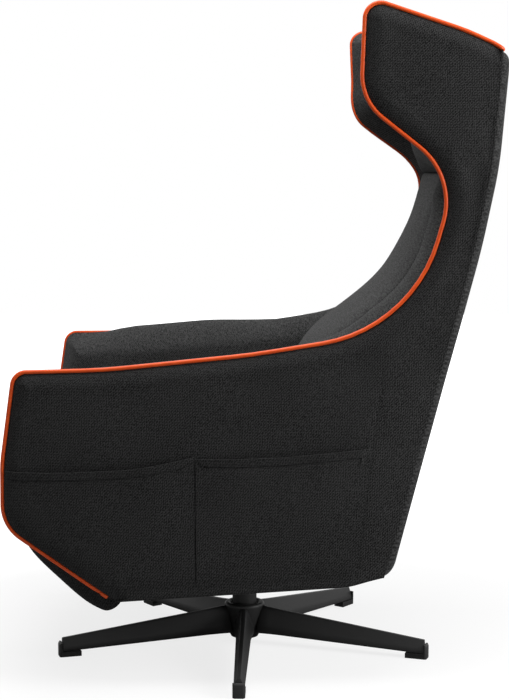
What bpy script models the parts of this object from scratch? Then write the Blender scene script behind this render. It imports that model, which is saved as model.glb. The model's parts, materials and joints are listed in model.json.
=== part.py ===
"""Winged swivel lounge chair with a fold-out footrest, on a five-star base.

Metres, +Z up. The chair faces -Y and the sitter's left is +X. The origin lies on the floor, under the
middle of the whole chair. Every place below is measured from the swivel axis at floor level.
"""

from math import atan2, ceil, cos, hypot, pi, radians, sin, sqrt, tan

import bmesh
import bpy
from mathutils import Matrix, Vector

# Fits
GAP = 0.0003                   # between pieces that touch

# Sides: flat panels that splay towards the front and lean out towards the top
HALF_WIDTH = 0.3195            # outer face, over the swivel axis, at arm height
ARM_HEIGHT = 0.570
SPLAY = 0.08                   # outwards for each metre forwards
LEAN = 0.05                    # outwards for each metre up
SIDE_THICKNESS = 0.085
OUTER_PAD = 0.020
BOARD = 0.018
BOARD_INSET = 0.018            # from the rim
BOARD_BOTTOM_INSET = 0.008
RIM_CROWN = 0.003
RIM_ROUND = 0.030              # roll of the rim down to the inner face
RIM_CREST_AT = 0.45            # places across the rim, as shares of its outer and inner half
RIM_FALL_AT = 0.62
RIM_FALL = 0.30                # share of the roll that is reached there
PIPING_RADIUS = 0.003

# Outline of a side, as the piping runs: corner (y, z), its radius, and the edge that leaves it
TOE = (-0.212, 0.1545)
KNEE = (-0.3945, 0.289)
SHIN = (-0.3925, 0.392)
ARM_TIP = (-0.3726, 0.545)
ARM_FRONT = (-0.225, 0.5475)
ARM_MIDDLE = (0.020, 0.5712)
ARM_BACK = (0.287, 0.6135)
WAIST = (0.356, 0.865)
WING_FOOT = (0.1985, 0.987)
WING_TIP = (0.204, 1.1525)
WING_TOP = (0.370, 1.099)
CROWN = (0.4395, 1.0665)
NAPE = (0.428, 0.915)
LUMBAR = (0.398, 0.745)
HEEL = (0.2545, 0.1945)
UNDER = (0.183, 0.1754)
SIDE_CORNERS = (
    (TOE, 0.000, "rim"),
    (KNEE, 0.085, "rim"),
    (SHIN, 0.200, "rim"),
    (ARM_TIP, 0.024, "rim"),
    (ARM_FRONT, 0.900, "rim"),
    (ARM_MIDDLE, 1.200, "rim"),
    (ARM_BACK, 0.235, "rim"),
    (WAIST, 0.116, "rim"),
    (WING_FOOT, 0.085, "rim"),
    (WING_TIP, 0.020, "rim"),
    (WING_TOP, 0.350, "rim"),
    (CROWN, 0.000, "rear"),
    (NAPE, 0.000, "rear"),
    (LUMBAR, 0.000, "rear"),
    (HEEL, 0.000, "bottom"),
    (UNDER, 0.000, "bottom"),
)
ARC_STEP = radians(14)
ROLL_ROWS = (0, 0.12, 0.4, 1)  # rows of points down a quarter round
LEAST_ROUND = 0.004            # of a corner that is moved inwards
ROUND_ROW = 0.45               # row of points across a cushion's round edge, as a share of it

# Back
BACK_PAD = 0.016
BACK_CORNER = 0.014
BACK_TOP_ROUND = 0.022
BACK_BOTTOM_ROUND = 0.030
BACK_CROWN = 0.004
BACK_EDGE = 0.0024             # least thickness of the pad at its edges
BACK_ROWS = 4                  # rows of faces between two bends of the back

# Timber rails from side board to side board
RAIL_DEPTH = 0.025
FRONT_RAIL = (-0.306, 0.280, 0.028, 0.024)   # middle y and z, depth, height
REAR_RAIL_Z = 0.280
FRONT_BEAM_Y = -0.1375
REAR_BEAM_Y = 0.1625
MID_RAIL_Z = 0.600
TOP_RAIL_Z = 1.025
BACK_RAIL_HEIGHT = 0.050

# Under the seat
MOUNT_BOARD = (0.300, 0.340, 0.018)   # width, length, thickness
MOUNT_BOARD_Z = 0.213                 # underside
DUST_COVER = 0.002
DUST_RISE = 0.012                     # top of the cover above the lower edge of the sides
DUST_FRONT_Y = -0.165
DUST_REAR_Y = 0.225
SIDE_CLEARANCE = 0.0015               # from cushions and covers to the inner pads

# Seat springs
SPRING_COUNT = 4
SPRING_SPACING = 0.095
SPRING_WIRE = 0.0018
SPRING_SWING = 0.020
SPRING_WAVES = 6

# Cushions
SEAT_FRONT_Y = -0.402
SEAT_REAR_Y = 0.248
SEAT_THICKNESS = 0.142
SEAT_BULGE = 0.006
SEAT_CROWN = 0.014
SEAT_DRAW = 0.006
SEAT_ROUND = 0.030
BACK_CUSHION_TOP = 0.862
BACK_CUSHION_LINE = ((0.068, 0.450), (0.082, 0.515), (0.112, 0.572), (0.172, 0.629), (0.225, 0.675),
                     (0.262, 0.720), (0.297, 0.784), (0.314, 0.862))
BACK_CUSHION_DEPTH = 0.136     # unbent, for the roll of its edges
BACK_CUSHION_CROWN = 0.030
BACK_CUSHION_DRAW = 0.005
BACK_CUSHION_ROUND = 0.034
HEADREST_GAP = 0.024           # above the back cushion
HEADREST_TOP = 1.058
HEADREST_FRONT_Y = 0.306
HEADREST_DEPTH = 0.0624
HEADREST_CROWN = 0.022
HEADREST_DRAW = 0.004
HEADREST_ROUND = 0.024
TOP_PAD_ROUND = 0.006

# Side pockets: each hem from its front to its rear end (y, z), and the walls of the pockets
FRONT_HEM_START = (-0.400, 0.376)
FRONT_HEM_END = (-0.072, 0.403)
REAR_HEM_START = (-0.056, 0.397)
REAR_HEM_END = (0.216, 0.419)
POCKET_INSET = 0.006
POCKET_GAP = 0.014
POCKET_SHEET = 0.003
POCKET_LIP = 0.004

# Footrest, folded back under the seat
FOOTREST_PIVOT = (-0.363, 0.2625)
FOOTREST_ANGLE = radians(43)          # below the horizontal, folded
FOOTREST_LENGTH = 0.206               # from the rod to the tip
FOOTREST_HEAD = 0.024                 # past the rod
FOOTREST_SIDE_GAP = 0.0066            # from its tip to the inner faces of the sides
FOOTREST_FACE = 0.021                 # upholstered face, from the rod
FOOTREST_REAR = 0.019                 # rear face of the pad, from the rod
FOOTREST_BELLY = 0.0162               # fullness of the face between its head and its tip
FOOTREST_BELLY_HEAD = 0.010           # where it starts, past the rod
FOOTREST_CROWN = 0.003
FOOTREST_ROUND = 0.0185
FOOTREST_BOARD = 0.008
FOOTREST_BOARD_INSET = 0.030
ROD_RADIUS = 0.006
BUSH_WALL = 0.003
BUSH_LENGTH = 0.030
BUSH_CLEARANCE = 0.0004
BRACKET = 0.004
BRACKET_EYE = 0.013
BRACKET_CLEARANCE = 0.003
ROD_HEAD = 0.003

# Five-star base
LEG_COUNT = 5
BASE_RADIUS = 0.350
HUB_TOP_RADIUS = 0.0370
HUB_FOOT_RADIUS = 0.0300
HUB_FOOT_Z = 0.021
HUB_WIDE_Z = 0.0715
HUB_RIM_Z = 0.0725
HUB_TOP_Z = 0.0765
HUB_RING_RADIUS = 0.0260
HUB_RING_Z = 0.011
LEG_ROOT = (0.022, 0.071, 0.036, 0.012)   # underside, top, lower width, top width
LEG_WAIST = (0.0205, 0.066, 0.027, 0.008)
LEG_WAIST_REACH = 0.035
LEG_TIP = (0.010, 0.034, 0.0185, 0.006)
LEG_SHOULDER = 0.30                       # height of the upright flank, as a share of the leg
CAP_WIDTH = 0.0215
CAP_HEIGHT = 0.026
CAP_LENGTH = 0.006
CAP_SOLE = 0.040
CAP_CHAMFER = 0.003
HUB_STEPS = 40

# Column
TUBE_RADIUS = 0.0225
TUBE_WALL = 0.005
TUBE_FOOT_Z = 0.012
TUBE_TOP_Z = 0.150
BUSH_FLANGE = 0.004
SLEEVE_WALL = 0.0045
WASHER = 0.0025
SPINDLE_FOOT_Z = 0.030
SPINDLE_WAY = 0.010                       # free room round the spindle in the dust cover
GROOVE_DEPTH = 0.0022                     # for the clip
CLIP_Z = 0.036
CLIP = 0.003
PLATE = (0.160, 0.007)                    # side, thickness
PLATE_BEVEL = 0.015
BOLT_SPACING = 0.120
BOLT_RADIUS = 0.004
BOLT_HEAD = (0.0075, 0.005)               # radius, height
ROUND_STEPS = 24
BOLT_STEPS = 8
ROD_STEPS = 16

# Sizes that follow from the ones above
BOARD_OUT = OUTER_PAD + GAP
BOARD_IN = BOARD_OUT + BOARD
REAR_INSET = BACK_PAD + GAP
CHAMFER = (PIPING_RADIUS + GAP) * sqrt(2)
POCKET_OUT = POCKET_GAP + POCKET_SHEET
SEAT_BASE_Z = FRONT_RAIL[1] + FRONT_RAIL[3] / 2 + 2 * SPRING_WIRE + 2 * GAP
BACK_CUSHION_BOTTOM = SEAT_BASE_Z + SEAT_THICKNESS + SEAT_CROWN + GAP
HEADREST_BOTTOM = BACK_CUSHION_TOP + HEADREST_GAP
HEAD_RAIL_Z = BACK_CUSHION_TOP + HEADREST_GAP / 2   # behind the gap between the two cushions
SLEEVE_OUT = TUBE_RADIUS - TUBE_WALL - GAP
SPINDLE_RADIUS = SLEEVE_OUT - SLEEVE_WALL - GAP
FLANGE_TOP_Z = TUBE_TOP_Z + GAP + BUSH_FLANGE
WASHER_TOP_Z = FLANGE_TOP_Z + GAP + WASHER
PLATE_TOP_Z = MOUNT_BOARD_Z - GAP
PLATE_BOTTOM_Z = PLATE_TOP_Z - PLATE[1]

for old in list(bpy.data.objects):
    bpy.data.objects.remove(old)


def material(name, colour, roughness, metallic=0.0):
    """A Principled material in the colour of the piece"""
    made = bpy.data.materials.new(name)
    made.use_nodes = True
    shader = made.node_tree.nodes["Principled BSDF"]
    shader.inputs["Base Color"].default_value = (*colour, 1.0)
    shader.inputs["Roughness"].default_value = roughness
    shader.inputs["Metallic"].default_value = metallic
    return made


CHARCOAL = material("charcoal_twill", (0.022, 0.022, 0.024), 0.9)
GREY = material("grey_twill", (0.060, 0.060, 0.064), 0.9)
ORANGE = material("orange_piping", (0.730, 0.077, 0.007), 0.6)
BLACK_STEEL = material("black_steel", (0.012, 0.012, 0.013), 0.35, 0.6)
STEEL = material("zinc_steel", (0.550, 0.560, 0.570), 0.35, 1.0)
NYLON = material("black_nylon", (0.015, 0.015, 0.016), 0.5)
BEECH = material("beech", (0.520, 0.330, 0.170), 0.6)
PLYWOOD = material("plywood", (0.560, 0.390, 0.220), 0.65)
DUST_CLOTH = material("dust_cloth", (0.010, 0.010, 0.011), 0.95)


def piece(name, bm, finish, parent, smooth=radians(35)):
    """Close a bmesh into a named object under one of the frames"""
    bmesh.ops.recalc_face_normals(bm, faces=bm.faces)
    mesh = bpy.data.meshes.new(name)
    bm.to_mesh(mesh)
    bm.free()
    mesh.shade_smooth()
    mesh.set_sharp_from_angle(angle=smooth)
    made = bpy.data.objects.new(name, mesh)
    made.data.materials.append(finish)
    made.parent = parent
    bpy.context.collection.objects.link(made)
    return made


def cutter(name, bm, parent):
    """A hidden body that is taken out of another piece"""
    made = piece(name, bm, CHARCOAL, parent)
    made.hide_render = True
    made.display_type = "WIRE"
    return made


def cut(made, tool):
    """Take a cutter out of a piece"""
    boolean = made.modifiers.new("cut " + tool.name, "BOOLEAN")
    boolean.operation = "DIFFERENCE"
    boolean.solver = "EXACT"
    boolean.object = tool


def loft(rings):
    """A closed body through rings of as many points, with a flat face on each end"""
    bm = bmesh.new()
    made = [[bm.verts.new(point) for point in ring] for ring in rings]
    count = len(made[0])
    for low, high in zip(made, made[1:]):
        for i in range(count):
            j = (i + 1) % count
            bm.faces.new((low[i], low[j], high[j], high[i]))
    bm.faces.new(made[0])
    bm.faces.new(reversed(made[-1]))
    return bm


def turned(profile, steps=ROUND_STEPS, bored=True):
    """A body turned about Z from (radius, z) points: a ring with a bore, or a solid with flat ends"""
    rings = []
    for radius, z in profile:
        rings.append([(radius * cos(2 * pi * i / steps), radius * sin(2 * pi * i / steps), z)
                      for i in range(steps)])
    if not bored:
        return loft(rings)
    bm = bmesh.new()
    made = [[bm.verts.new(point) for point in ring] for ring in rings]
    for low, high in zip(made, made[1:] + made[:1]):
        for i in range(steps):
            j = (i + 1) % steps
            bm.faces.new((low[i], low[j], high[j], high[i]))
    return bm


def blend(low, high, share):
    """A value between two others"""
    return low + (high - low) * share


def read_line(points, z):
    """The y of a line of (y, z) points at a height"""
    z = min(max(z, points[0][1]), points[-1][1])
    for (y0, z0), (y1, z1) in zip(points, points[1:]):
        if z <= z1:
            return blend(y0, y1, (z - z0) / (z1 - z0))
    return points[-1][0]


def side_x(y, z):
    """Half the width of the chair over its outer faces"""
    return HALF_WIDTH - SPLAY * y + LEAN * (z - ARM_HEIGHT)


def rear_y(z):
    """The rear face of the back, straight between its bends"""
    return read_line((HEEL, LUMBAR, NAPE, CROWN), z)


def rear_tilt(z):
    """The lean of the back at a height, over the height of a rail"""
    half = BACK_RAIL_HEIGHT / 2
    return atan2(rear_y(z + half) - rear_y(z - half), BACK_RAIL_HEIGHT)


def bottom_z(y):
    """The lower edge of the sides, which rises behind the last beam"""
    start, end = (TOE, UNDER) if y < UNDER[0] else (UNDER, HEEL)
    return blend(start[1], end[1], (y - start[0]) / (end[0] - start[0]))


def axis_y():
    """The swivel axis, from the middle of the chair's length"""
    front = SEAT_FRONT_Y - SEAT_BULGE
    rear = rear_y(CROWN[1] - BACK_TOP_ROUND) + BACK_CROWN
    return -(front + rear) / 2


def footrest_half_width():
    """Half the width of the footrest, which clears the sides where they stand closest"""
    tip_y = FOOTREST_PIVOT[0] + FOOTREST_LENGTH * cos(FOOTREST_ANGLE)
    tip_z = FOOTREST_PIVOT[1] - FOOTREST_LENGTH * sin(FOOTREST_ANGLE)
    return side_x(tip_y, tip_z) - SIDE_THICKNESS - FOOTREST_SIDE_GAP


FOOTREST_HALF_WIDTH = footrest_half_width()

# Frames of the moving bodies
base_origin = bpy.data.objects.new("base_origin", None)
base_origin.location = (0, axis_y(), 0)
swivel_axis = bpy.data.objects.new("swivel_axis", None)
swivel_axis.parent = base_origin
footrest_axis = bpy.data.objects.new("footrest_axis", None)
footrest_axis.parent = swivel_axis
footrest_axis.location = (0, *FOOTREST_PIVOT)
for frame in (base_origin, swivel_axis, footrest_axis):
    bpy.context.collection.objects.link(frame)


def side_outline(rim, rear, bottom):
    """Points (y, z) round a side, with each kind of edge moved inwards by its own amount"""
    insets = {"rim": rim, "rear": rear, "bottom": bottom}
    count = len(SIDE_CORNERS)
    lines = []
    for i, (corner, _, kind) in enumerate(SIDE_CORNERS):
        here = Vector(corner)
        along = (Vector(SIDE_CORNERS[(i + 1) % count][0]) - here).normalized()
        lines.append((here + Vector((along.y, -along.x)) * insets[kind], along))
    points = []
    for i, (_, radius, _) in enumerate(SIDE_CORNERS):
        (start, arrive), (end, leave) = lines[i - 1], lines[i]
        bend = arrive.x * leave.y - arrive.y * leave.x
        corner = start + arrive * ((end - start).x * leave.y - (end - start).y * leave.x) * (1 / bend)
        if radius == 0.0:
            points.append(tuple(corner))
            continue
        turn = arrive.angle(leave)
        round_in = max(radius - rim, LEAST_ROUND) if bend < 0 else radius + rim
        steps = max(2, ceil(turn / ARC_STEP))
        middle = corner + (leave - arrive).normalized() * (round_in / cos(turn / 2))
        first = corner - arrive * round_in * tan(turn / 2)
        angle = atan2(first.y - middle.y, first.x - middle.x)
        sweep = -turn if bend < 0 else turn
        for k in range(steps + 1):
            at = angle + sweep * k / steps
            points.append((middle.x + round_in * cos(at), middle.y + round_in * sin(at)))
    return points


def side_ring(points, depth, side):
    """Points on a side panel, at a depth under its outer face"""
    return [(side * (side_x(y, z) - depth), y, z) for y, z in points]


def side_slab(rings, side):
    """A layer of the side panel through rings of (rim, rear, bottom, depth)"""
    return loft([side_ring(side_outline(*ring[:3]), ring[3], side) for ring in rings])


def rail_body(middle_y, middle_z, depth, height, tilt, grow, end_depth):
    """A rail across the chair, cut to the slope of the side panels"""
    rings = []
    for side in (-1, 1):
        ring = []
        for across, up in ((-1, -1), (1, -1), (1, 1), (-1, 1)):
            dy, dz = across * (depth / 2 + grow), up * (height / 2 + grow)
            ring.append((middle_y + dy * cos(tilt) + dz * sin(tilt),
                         middle_z - dy * sin(tilt) + dz * cos(tilt)))
        rings.append(side_ring(ring, end_depth, side))
    return loft(rings)


def rail_places():
    """Name and place of each rail: middle y, middle z, depth, height and tilt"""
    places = {"front_rail": (*FRONT_RAIL, 0.0)}
    rear_height = FRONT_RAIL[3]
    low_rear = rear_y(REAR_RAIL_Z - rear_height / 2) - REAR_INSET
    places["rear_rail"] = (low_rear - RAIL_DEPTH / 2, REAR_RAIL_Z, RAIL_DEPTH, rear_height, 0.0)
    for name, middle in (("front_beam", FRONT_BEAM_Y), ("rear_beam", REAR_BEAM_Y)):
        low = bottom_z(middle + RAIL_DEPTH / 2) + DUST_RISE + GAP
        high = MOUNT_BOARD_Z - GAP
        places[name] = (middle, (low + high) / 2, RAIL_DEPTH, high - low, 0.0)
    for name, z in (("mid_rail", MID_RAIL_Z), ("head_rail", HEAD_RAIL_Z), ("top_rail", TOP_RAIL_Z)):
        tilt = rear_tilt(z)
        reach = RAIL_DEPTH / 2 / cos(tilt) + REAR_INSET
        places["back_" + name] = (rear_y(z) - reach, z, RAIL_DEPTH, BACK_RAIL_HEIGHT, tilt)
    return places


RAILS = rail_places()


def cushion(half, round_edge, divisions, place):
    """A padded body: a box with rounded edges, laid into its room by place(a, b, c), each from -1 to 1"""
    bm = bmesh.new()
    made = {}

    def steps(axis):
        size, count = half[axis], divisions[axis]
        inner = [-(size - round_edge) + 2 * (size - round_edge) * i / count for i in range(count + 1)]
        first = size - round_edge * ROUND_ROW
        return [-size, -first] + inner + [first, size]

    def corner(point):
        if point not in made:
            core = Vector([min(max(v, r - h), h - r) for v, h, r in zip(point, half, (round_edge,) * 3)])
            out = Vector(point) - core
            spot = core + (out.normalized() * round_edge if out.length > 0 else out)
            made[point] = bm.verts.new(place(*[v / h for v, h in zip(spot, half)]))
        return made[point]

    for axis in range(3):
        one, two = (axis + 1) % 3, (axis + 2) % 3
        for end in (-half[axis], half[axis]):
            for u0, u1 in zip(steps(one), steps(one)[1:]):
                for v0, v1 in zip(steps(two), steps(two)[1:]):
                    face = []
                    for u, v in ((u0, v0), (u1, v0), (u1, v1), (u0, v1)):
                        point = [0.0, 0.0, 0.0]
                        point[axis], point[one], point[two] = end, u, v
                        face.append(corner(tuple(point)))
                    bm.faces.new(face)
    return bm


def seat_place(a, b, c):
    """The seat: a trapezium between the arms, crowned, with a full front and drawn-in sides"""
    up = (c + 1) / 2
    z = SEAT_BASE_Z + SEAT_THICKNESS * up + SEAT_CROWN * up * (1 - a * a) * (1 - b * b)
    y = blend(SEAT_FRONT_Y, SEAT_REAR_Y, (b + 1) / 2) - SEAT_BULGE * (1 - c * c) * max(-b, 0.0)
    half = side_x(y, z) - SIDE_THICKNESS - SIDE_CLEARANCE - SEAT_DRAW * (1 - b * b)
    return a * half, y, z


def back_room(z):
    """The rear of the room for the back cushions, just before the leaning rails"""
    return rear_y(z) - REAR_INSET - RAIL_DEPTH / cos(rear_tilt(z))


def back_place(a, b, c):
    """The back cushion: its crown follows the line seen over the arm"""
    z = blend(BACK_CUSHION_BOTTOM, BACK_CUSHION_TOP, (b + 1) / 2)
    front = read_line(BACK_CUSHION_LINE, z) + BACK_CUSHION_CROWN * a * a
    y = blend(back_room(z) - GAP, front, (c + 1) / 2)
    half = side_x(y, z) - SIDE_THICKNESS - SIDE_CLEARANCE - BACK_CUSHION_DRAW * (1 - b * b)
    return a * half, y, z


def headrest_place(a, b, c):
    """The headrest between the wings"""
    z = blend(HEADREST_BOTTOM, HEADREST_TOP, (b + 1) / 2)
    front = HEADREST_FRONT_Y + HEADREST_CROWN * (a * a + b * b * (1 - a * a))
    y = blend(back_room(z) - GAP, front, (c + 1) / 2)
    half = side_x(y, z) - SIDE_THICKNESS - SIDE_CLEARANCE - HEADREST_DRAW * (1 - b * b)
    return a * half, y, z


def footrest_point(x, along, out):
    """A place on the footrest, from its rod: along it to the tip, and out of its upholstered face"""
    run, fall = cos(FOOTREST_ANGLE), sin(FOOTREST_ANGLE)
    return x, along * run - out * fall, -along * fall - out * run


def footrest_place(a, b, c):
    """The footrest pad"""
    along = blend(-FOOTREST_HEAD, FOOTREST_LENGTH, (b + 1) / 2)
    share = max((along + FOOTREST_BELLY_HEAD) / (FOOTREST_LENGTH + FOOTREST_BELLY_HEAD), 0.0)
    face = FOOTREST_FACE + FOOTREST_BELLY * (1 - (2 * share - 1) ** 4)
    out = blend(-FOOTREST_REAR, face, (c + 1) / 2)
    out += FOOTREST_CROWN * max(c, 0.0) * (1 - a * a) * (1 - b * b)
    return footrest_point(a * FOOTREST_HALF_WIDTH, along, out)


def build_side(name, side, rail_cutters):
    """The layers of one side: outer pad, board, inner pad with its rim, and piping"""
    outer = side_slab([(0, REAR_INSET, 0, OUTER_PAD), (0, REAR_INSET, 0, CHAMFER),
                       (CHAMFER, REAR_INSET, 0, 0)], side)
    piece(name + "_outer_pad", outer, CHARCOAL, swivel_axis)
    board_rear = REAR_INSET + BOARD_BOTTOM_INSET
    board = (BOARD_INSET, board_rear, BOARD_BOTTOM_INSET)
    slab = side_slab([(*board, BOARD_OUT), (*board, BOARD_IN)], side)
    piece(name + "_side_board", slab, PLYWOOD, swivel_axis)
    recess = [inset - GAP for inset in board]
    middle = (BOARD_OUT + SIDE_THICKNESS) / 2
    rim = [(0, BOARD_OUT), (-RIM_CROWN, blend(BOARD_OUT, middle, RIM_CREST_AT)), (0, middle),
           (RIM_ROUND * RIM_FALL, blend(middle, SIDE_THICKNESS, RIM_FALL_AT)), (RIM_ROUND, SIDE_THICKNESS)]
    rings = [(*recess, BOARD_IN + GAP), (*recess, BOARD_OUT)]
    rings += [(inset, REAR_INSET, 0, depth) for inset, depth in rim]
    inner = piece(name + "_inner_pad", side_slab(rings, side), GREY, swivel_axis)
    for tool in rail_cutters:
        cut(inner, tool)
    build_tube(name + "_piping", side_ring(piping_line(), 0, side), PIPING_RADIUS, ORANGE)


def piping_line():
    """The rim of a side from its toe to the top of the back"""
    outline = side_outline(0, REAR_INSET, 0)
    crown_y = CROWN[0] - REAR_INSET
    last = min(range(len(outline)), key=lambda i: hypot(outline[i][0] - crown_y, outline[i][1] - CROWN[1]))
    return outline[:last + 1]


def build_tube(name, points, radius, finish, sides=1):
    """A round cord or wire along points"""
    curve = bpy.data.curves.new(name, "CURVE")
    curve.dimensions = "3D"
    curve.bevel_depth = radius
    curve.bevel_resolution = sides
    curve.use_fill_caps = True
    spline = curve.splines.new("POLY")
    spline.points.add(len(points) - 1)
    for spot, point in zip(spline.points, points):
        spot.co = (*point, 1)
    curve.materials.append(finish)
    made = bpy.data.objects.new(name, curve)
    made.parent = swivel_axis
    bpy.context.collection.objects.link(made)
    return made


def build_back_pad():
    """The rear panel, wrapped round both rear corners"""
    bottom, top = bottom_z(HEEL[0]) + GAP, CROWN[1]
    heights = [bottom + BACK_BOTTOM_ROUND * share for share in ROLL_ROWS]
    low, high = heights[-1], top - BACK_TOP_ROUND
    for start, end in ((low, LUMBAR[1]), (LUMBAR[1], NAPE[1]), (NAPE[1], high)):
        heights += [blend(start, end, (i + 1) / BACK_ROWS) for i in range(BACK_ROWS)]
    heights += [top - BACK_TOP_ROUND * share for share in reversed(ROLL_ROWS[:-1])]
    edges = [BACK_CORNER * share for share in ROLL_ROWS]

    def roll(past, radius):
        past = min(max(past, 0.0), radius)
        return radius - sqrt(radius * radius - past * past)

    rear, front = [], []
    for z in heights:
        half = side_x(rear_y(z) - BACK_PAD, z)
        across = [-half + edge for edge in edges] + [-half / 2, 0, half / 2]
        across += [half - edge for edge in reversed(edges)]
        face = rear_y(z)
        ends = roll(z - high, BACK_TOP_ROUND) + roll(low - z, BACK_BOTTOM_ROUND)
        row = []
        for x in across:
            drop = min(ends + roll(abs(x) - half + BACK_CORNER, BACK_CORNER), BACK_PAD - BACK_EDGE)
            crown = BACK_CROWN * (1 - (x / half) ** 2) * (1 - drop / BACK_PAD)
            row.append((x, face - drop + crown, z))
        rear.append(row)
        front.append([(x, face - BACK_PAD, z) for x in across])
    bm = bmesh.new()
    sheets = [[[bm.verts.new(point) for point in row] for row in sheet] for sheet in (rear, front)]
    for sheet in sheets:
        for one, two in zip(sheet, sheet[1:]):
            for i in range(len(one) - 1):
                bm.faces.new((one[i], one[i + 1], two[i + 1], two[i]))
    border = []
    for sheet in sheets:
        loop = list(sheet[0]) + [row[-1] for row in sheet[1:]]
        loop += list(reversed(sheet[-1][:-1])) + [row[0] for row in reversed(sheet[1:-1])]
        border.append(loop)
    for i in range(len(border[0])):
        j = (i + 1) % len(border[0])
        bm.faces.new((border[0][i], border[0][j], border[1][j], border[1][i]))
    piece("back_outer_pad", bm, CHARCOAL, swivel_axis)


def build_top_pad():
    """The pad on the top rail, between the wings, and the piping behind it"""
    _, rail_z, depth, height, tilt = RAILS["back_top_rail"]
    z_low = rail_z + height / 2 + depth / 2 * sin(tilt) + GAP
    z_high = CROWN[1]
    y_rear, y_front = rear_y(z_high) - REAR_INSET, back_room(z_high) + GAP
    rings = []
    for side in (-1, 1):
        section = [(rear_y(z_low) - REAR_INSET, z_low), (y_rear, z_high), (y_front + TOP_PAD_ROUND, z_high),
                   (y_front, z_high - TOP_PAD_ROUND), (y_front, z_low)]
        rings.append(side_ring(section, SIDE_THICKNESS + SIDE_CLEARANCE, side))
    piece("top_pad", loft(rings), GREY, swivel_axis)
    lift = PIPING_RADIUS + GAP
    y, z = rear_y(z_high) - BACK_PAD + lift, z_high + lift
    ends = [(side * (side_x(y, z) - BACK_CORNER), y, z) for side in (-1, 1)]
    build_tube("top_piping", ends, PIPING_RADIUS, ORANGE)


def clip(points, start, end):
    """The part of an outline to the right of a line from start to end"""
    run = Vector(end) - Vector(start)

    def side_of(point):
        return run.x * (point[1] - start[1]) - run.y * (point[0] - start[0])

    kept = []
    for one, two in zip(points, points[1:] + points[:1]):
        first, second = side_of(one), side_of(two)
        if first <= 0:
            kept.append(one)
        if first * second < 0:
            share = first / (first - second)
            kept.append((blend(one[0], two[0], share), blend(one[1], two[1], share)))
    return kept


def build_pocket(name, hem_start, hem_end, side):
    """A flat side pocket, sewn in on three sides and open along its hem"""

    def room(lip, hem_rise):
        points = side_outline(POCKET_INSET + lip, REAR_INSET + lip, POCKET_INSET + lip)
        (front_y, front_z), (back_y, back_z) = hem_start, hem_end
        points = clip(points, (front_y, front_z + hem_rise), (back_y, back_z + hem_rise))
        points = clip(points, (back_y - lip, back_z), (back_y - lip, 0))
        return clip(points, (front_y + lip, 0), (front_y + lip, front_z))

    tray = room(0, 0)
    body = loft([side_ring(tray, -GAP, side), side_ring(tray, -GAP - POCKET_OUT, side)])
    made = piece(name, body, CHARCOAL, swivel_axis)
    hollow = room(POCKET_LIP, POCKET_OUT)
    body = loft([side_ring(hollow, POCKET_SHEET, side), side_ring(hollow, -GAP - POCKET_GAP, side)])
    cut(made, cutter(name + "_room", body, swivel_axis))


def build_springs():
    """Sinuous springs from the front rail to the rear rail"""
    front, rear = RAILS["front_rail"], RAILS["rear_rail"]
    start, end = front[0] - front[2] / 4, rear[0] + rear[2] / 4
    z = front[1] + front[3] / 2 + GAP + SPRING_WIRE
    steps = 8
    for i in range(SPRING_COUNT):
        x = (i - (SPRING_COUNT - 1) / 2) * SPRING_SPACING
        points = []
        for k in range(SPRING_WAVES * steps + 1):
            share = k / (SPRING_WAVES * steps)
            swing = SPRING_SWING * sin(2 * pi * SPRING_WAVES * share)
            points.append((x + swing, blend(start, end, share), z))
        build_tube("seat_spring_%d" % (i + 1), points, SPRING_WIRE, STEEL, sides=0)


def box(x_low, x_high, y_low, y_high, z_low, z_high):
    """A plain box between its faces"""
    return loft([[(x_low, y_low, z), (x_high, y_low, z), (x_high, y_high, z), (x_low, y_high, z)]
                 for z in (z_low, z_high)])


def move(bm, x, y, z):
    """Shift a body"""
    bmesh.ops.translate(bm, verts=bm.verts, vec=(x, y, z))
    return bm


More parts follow.
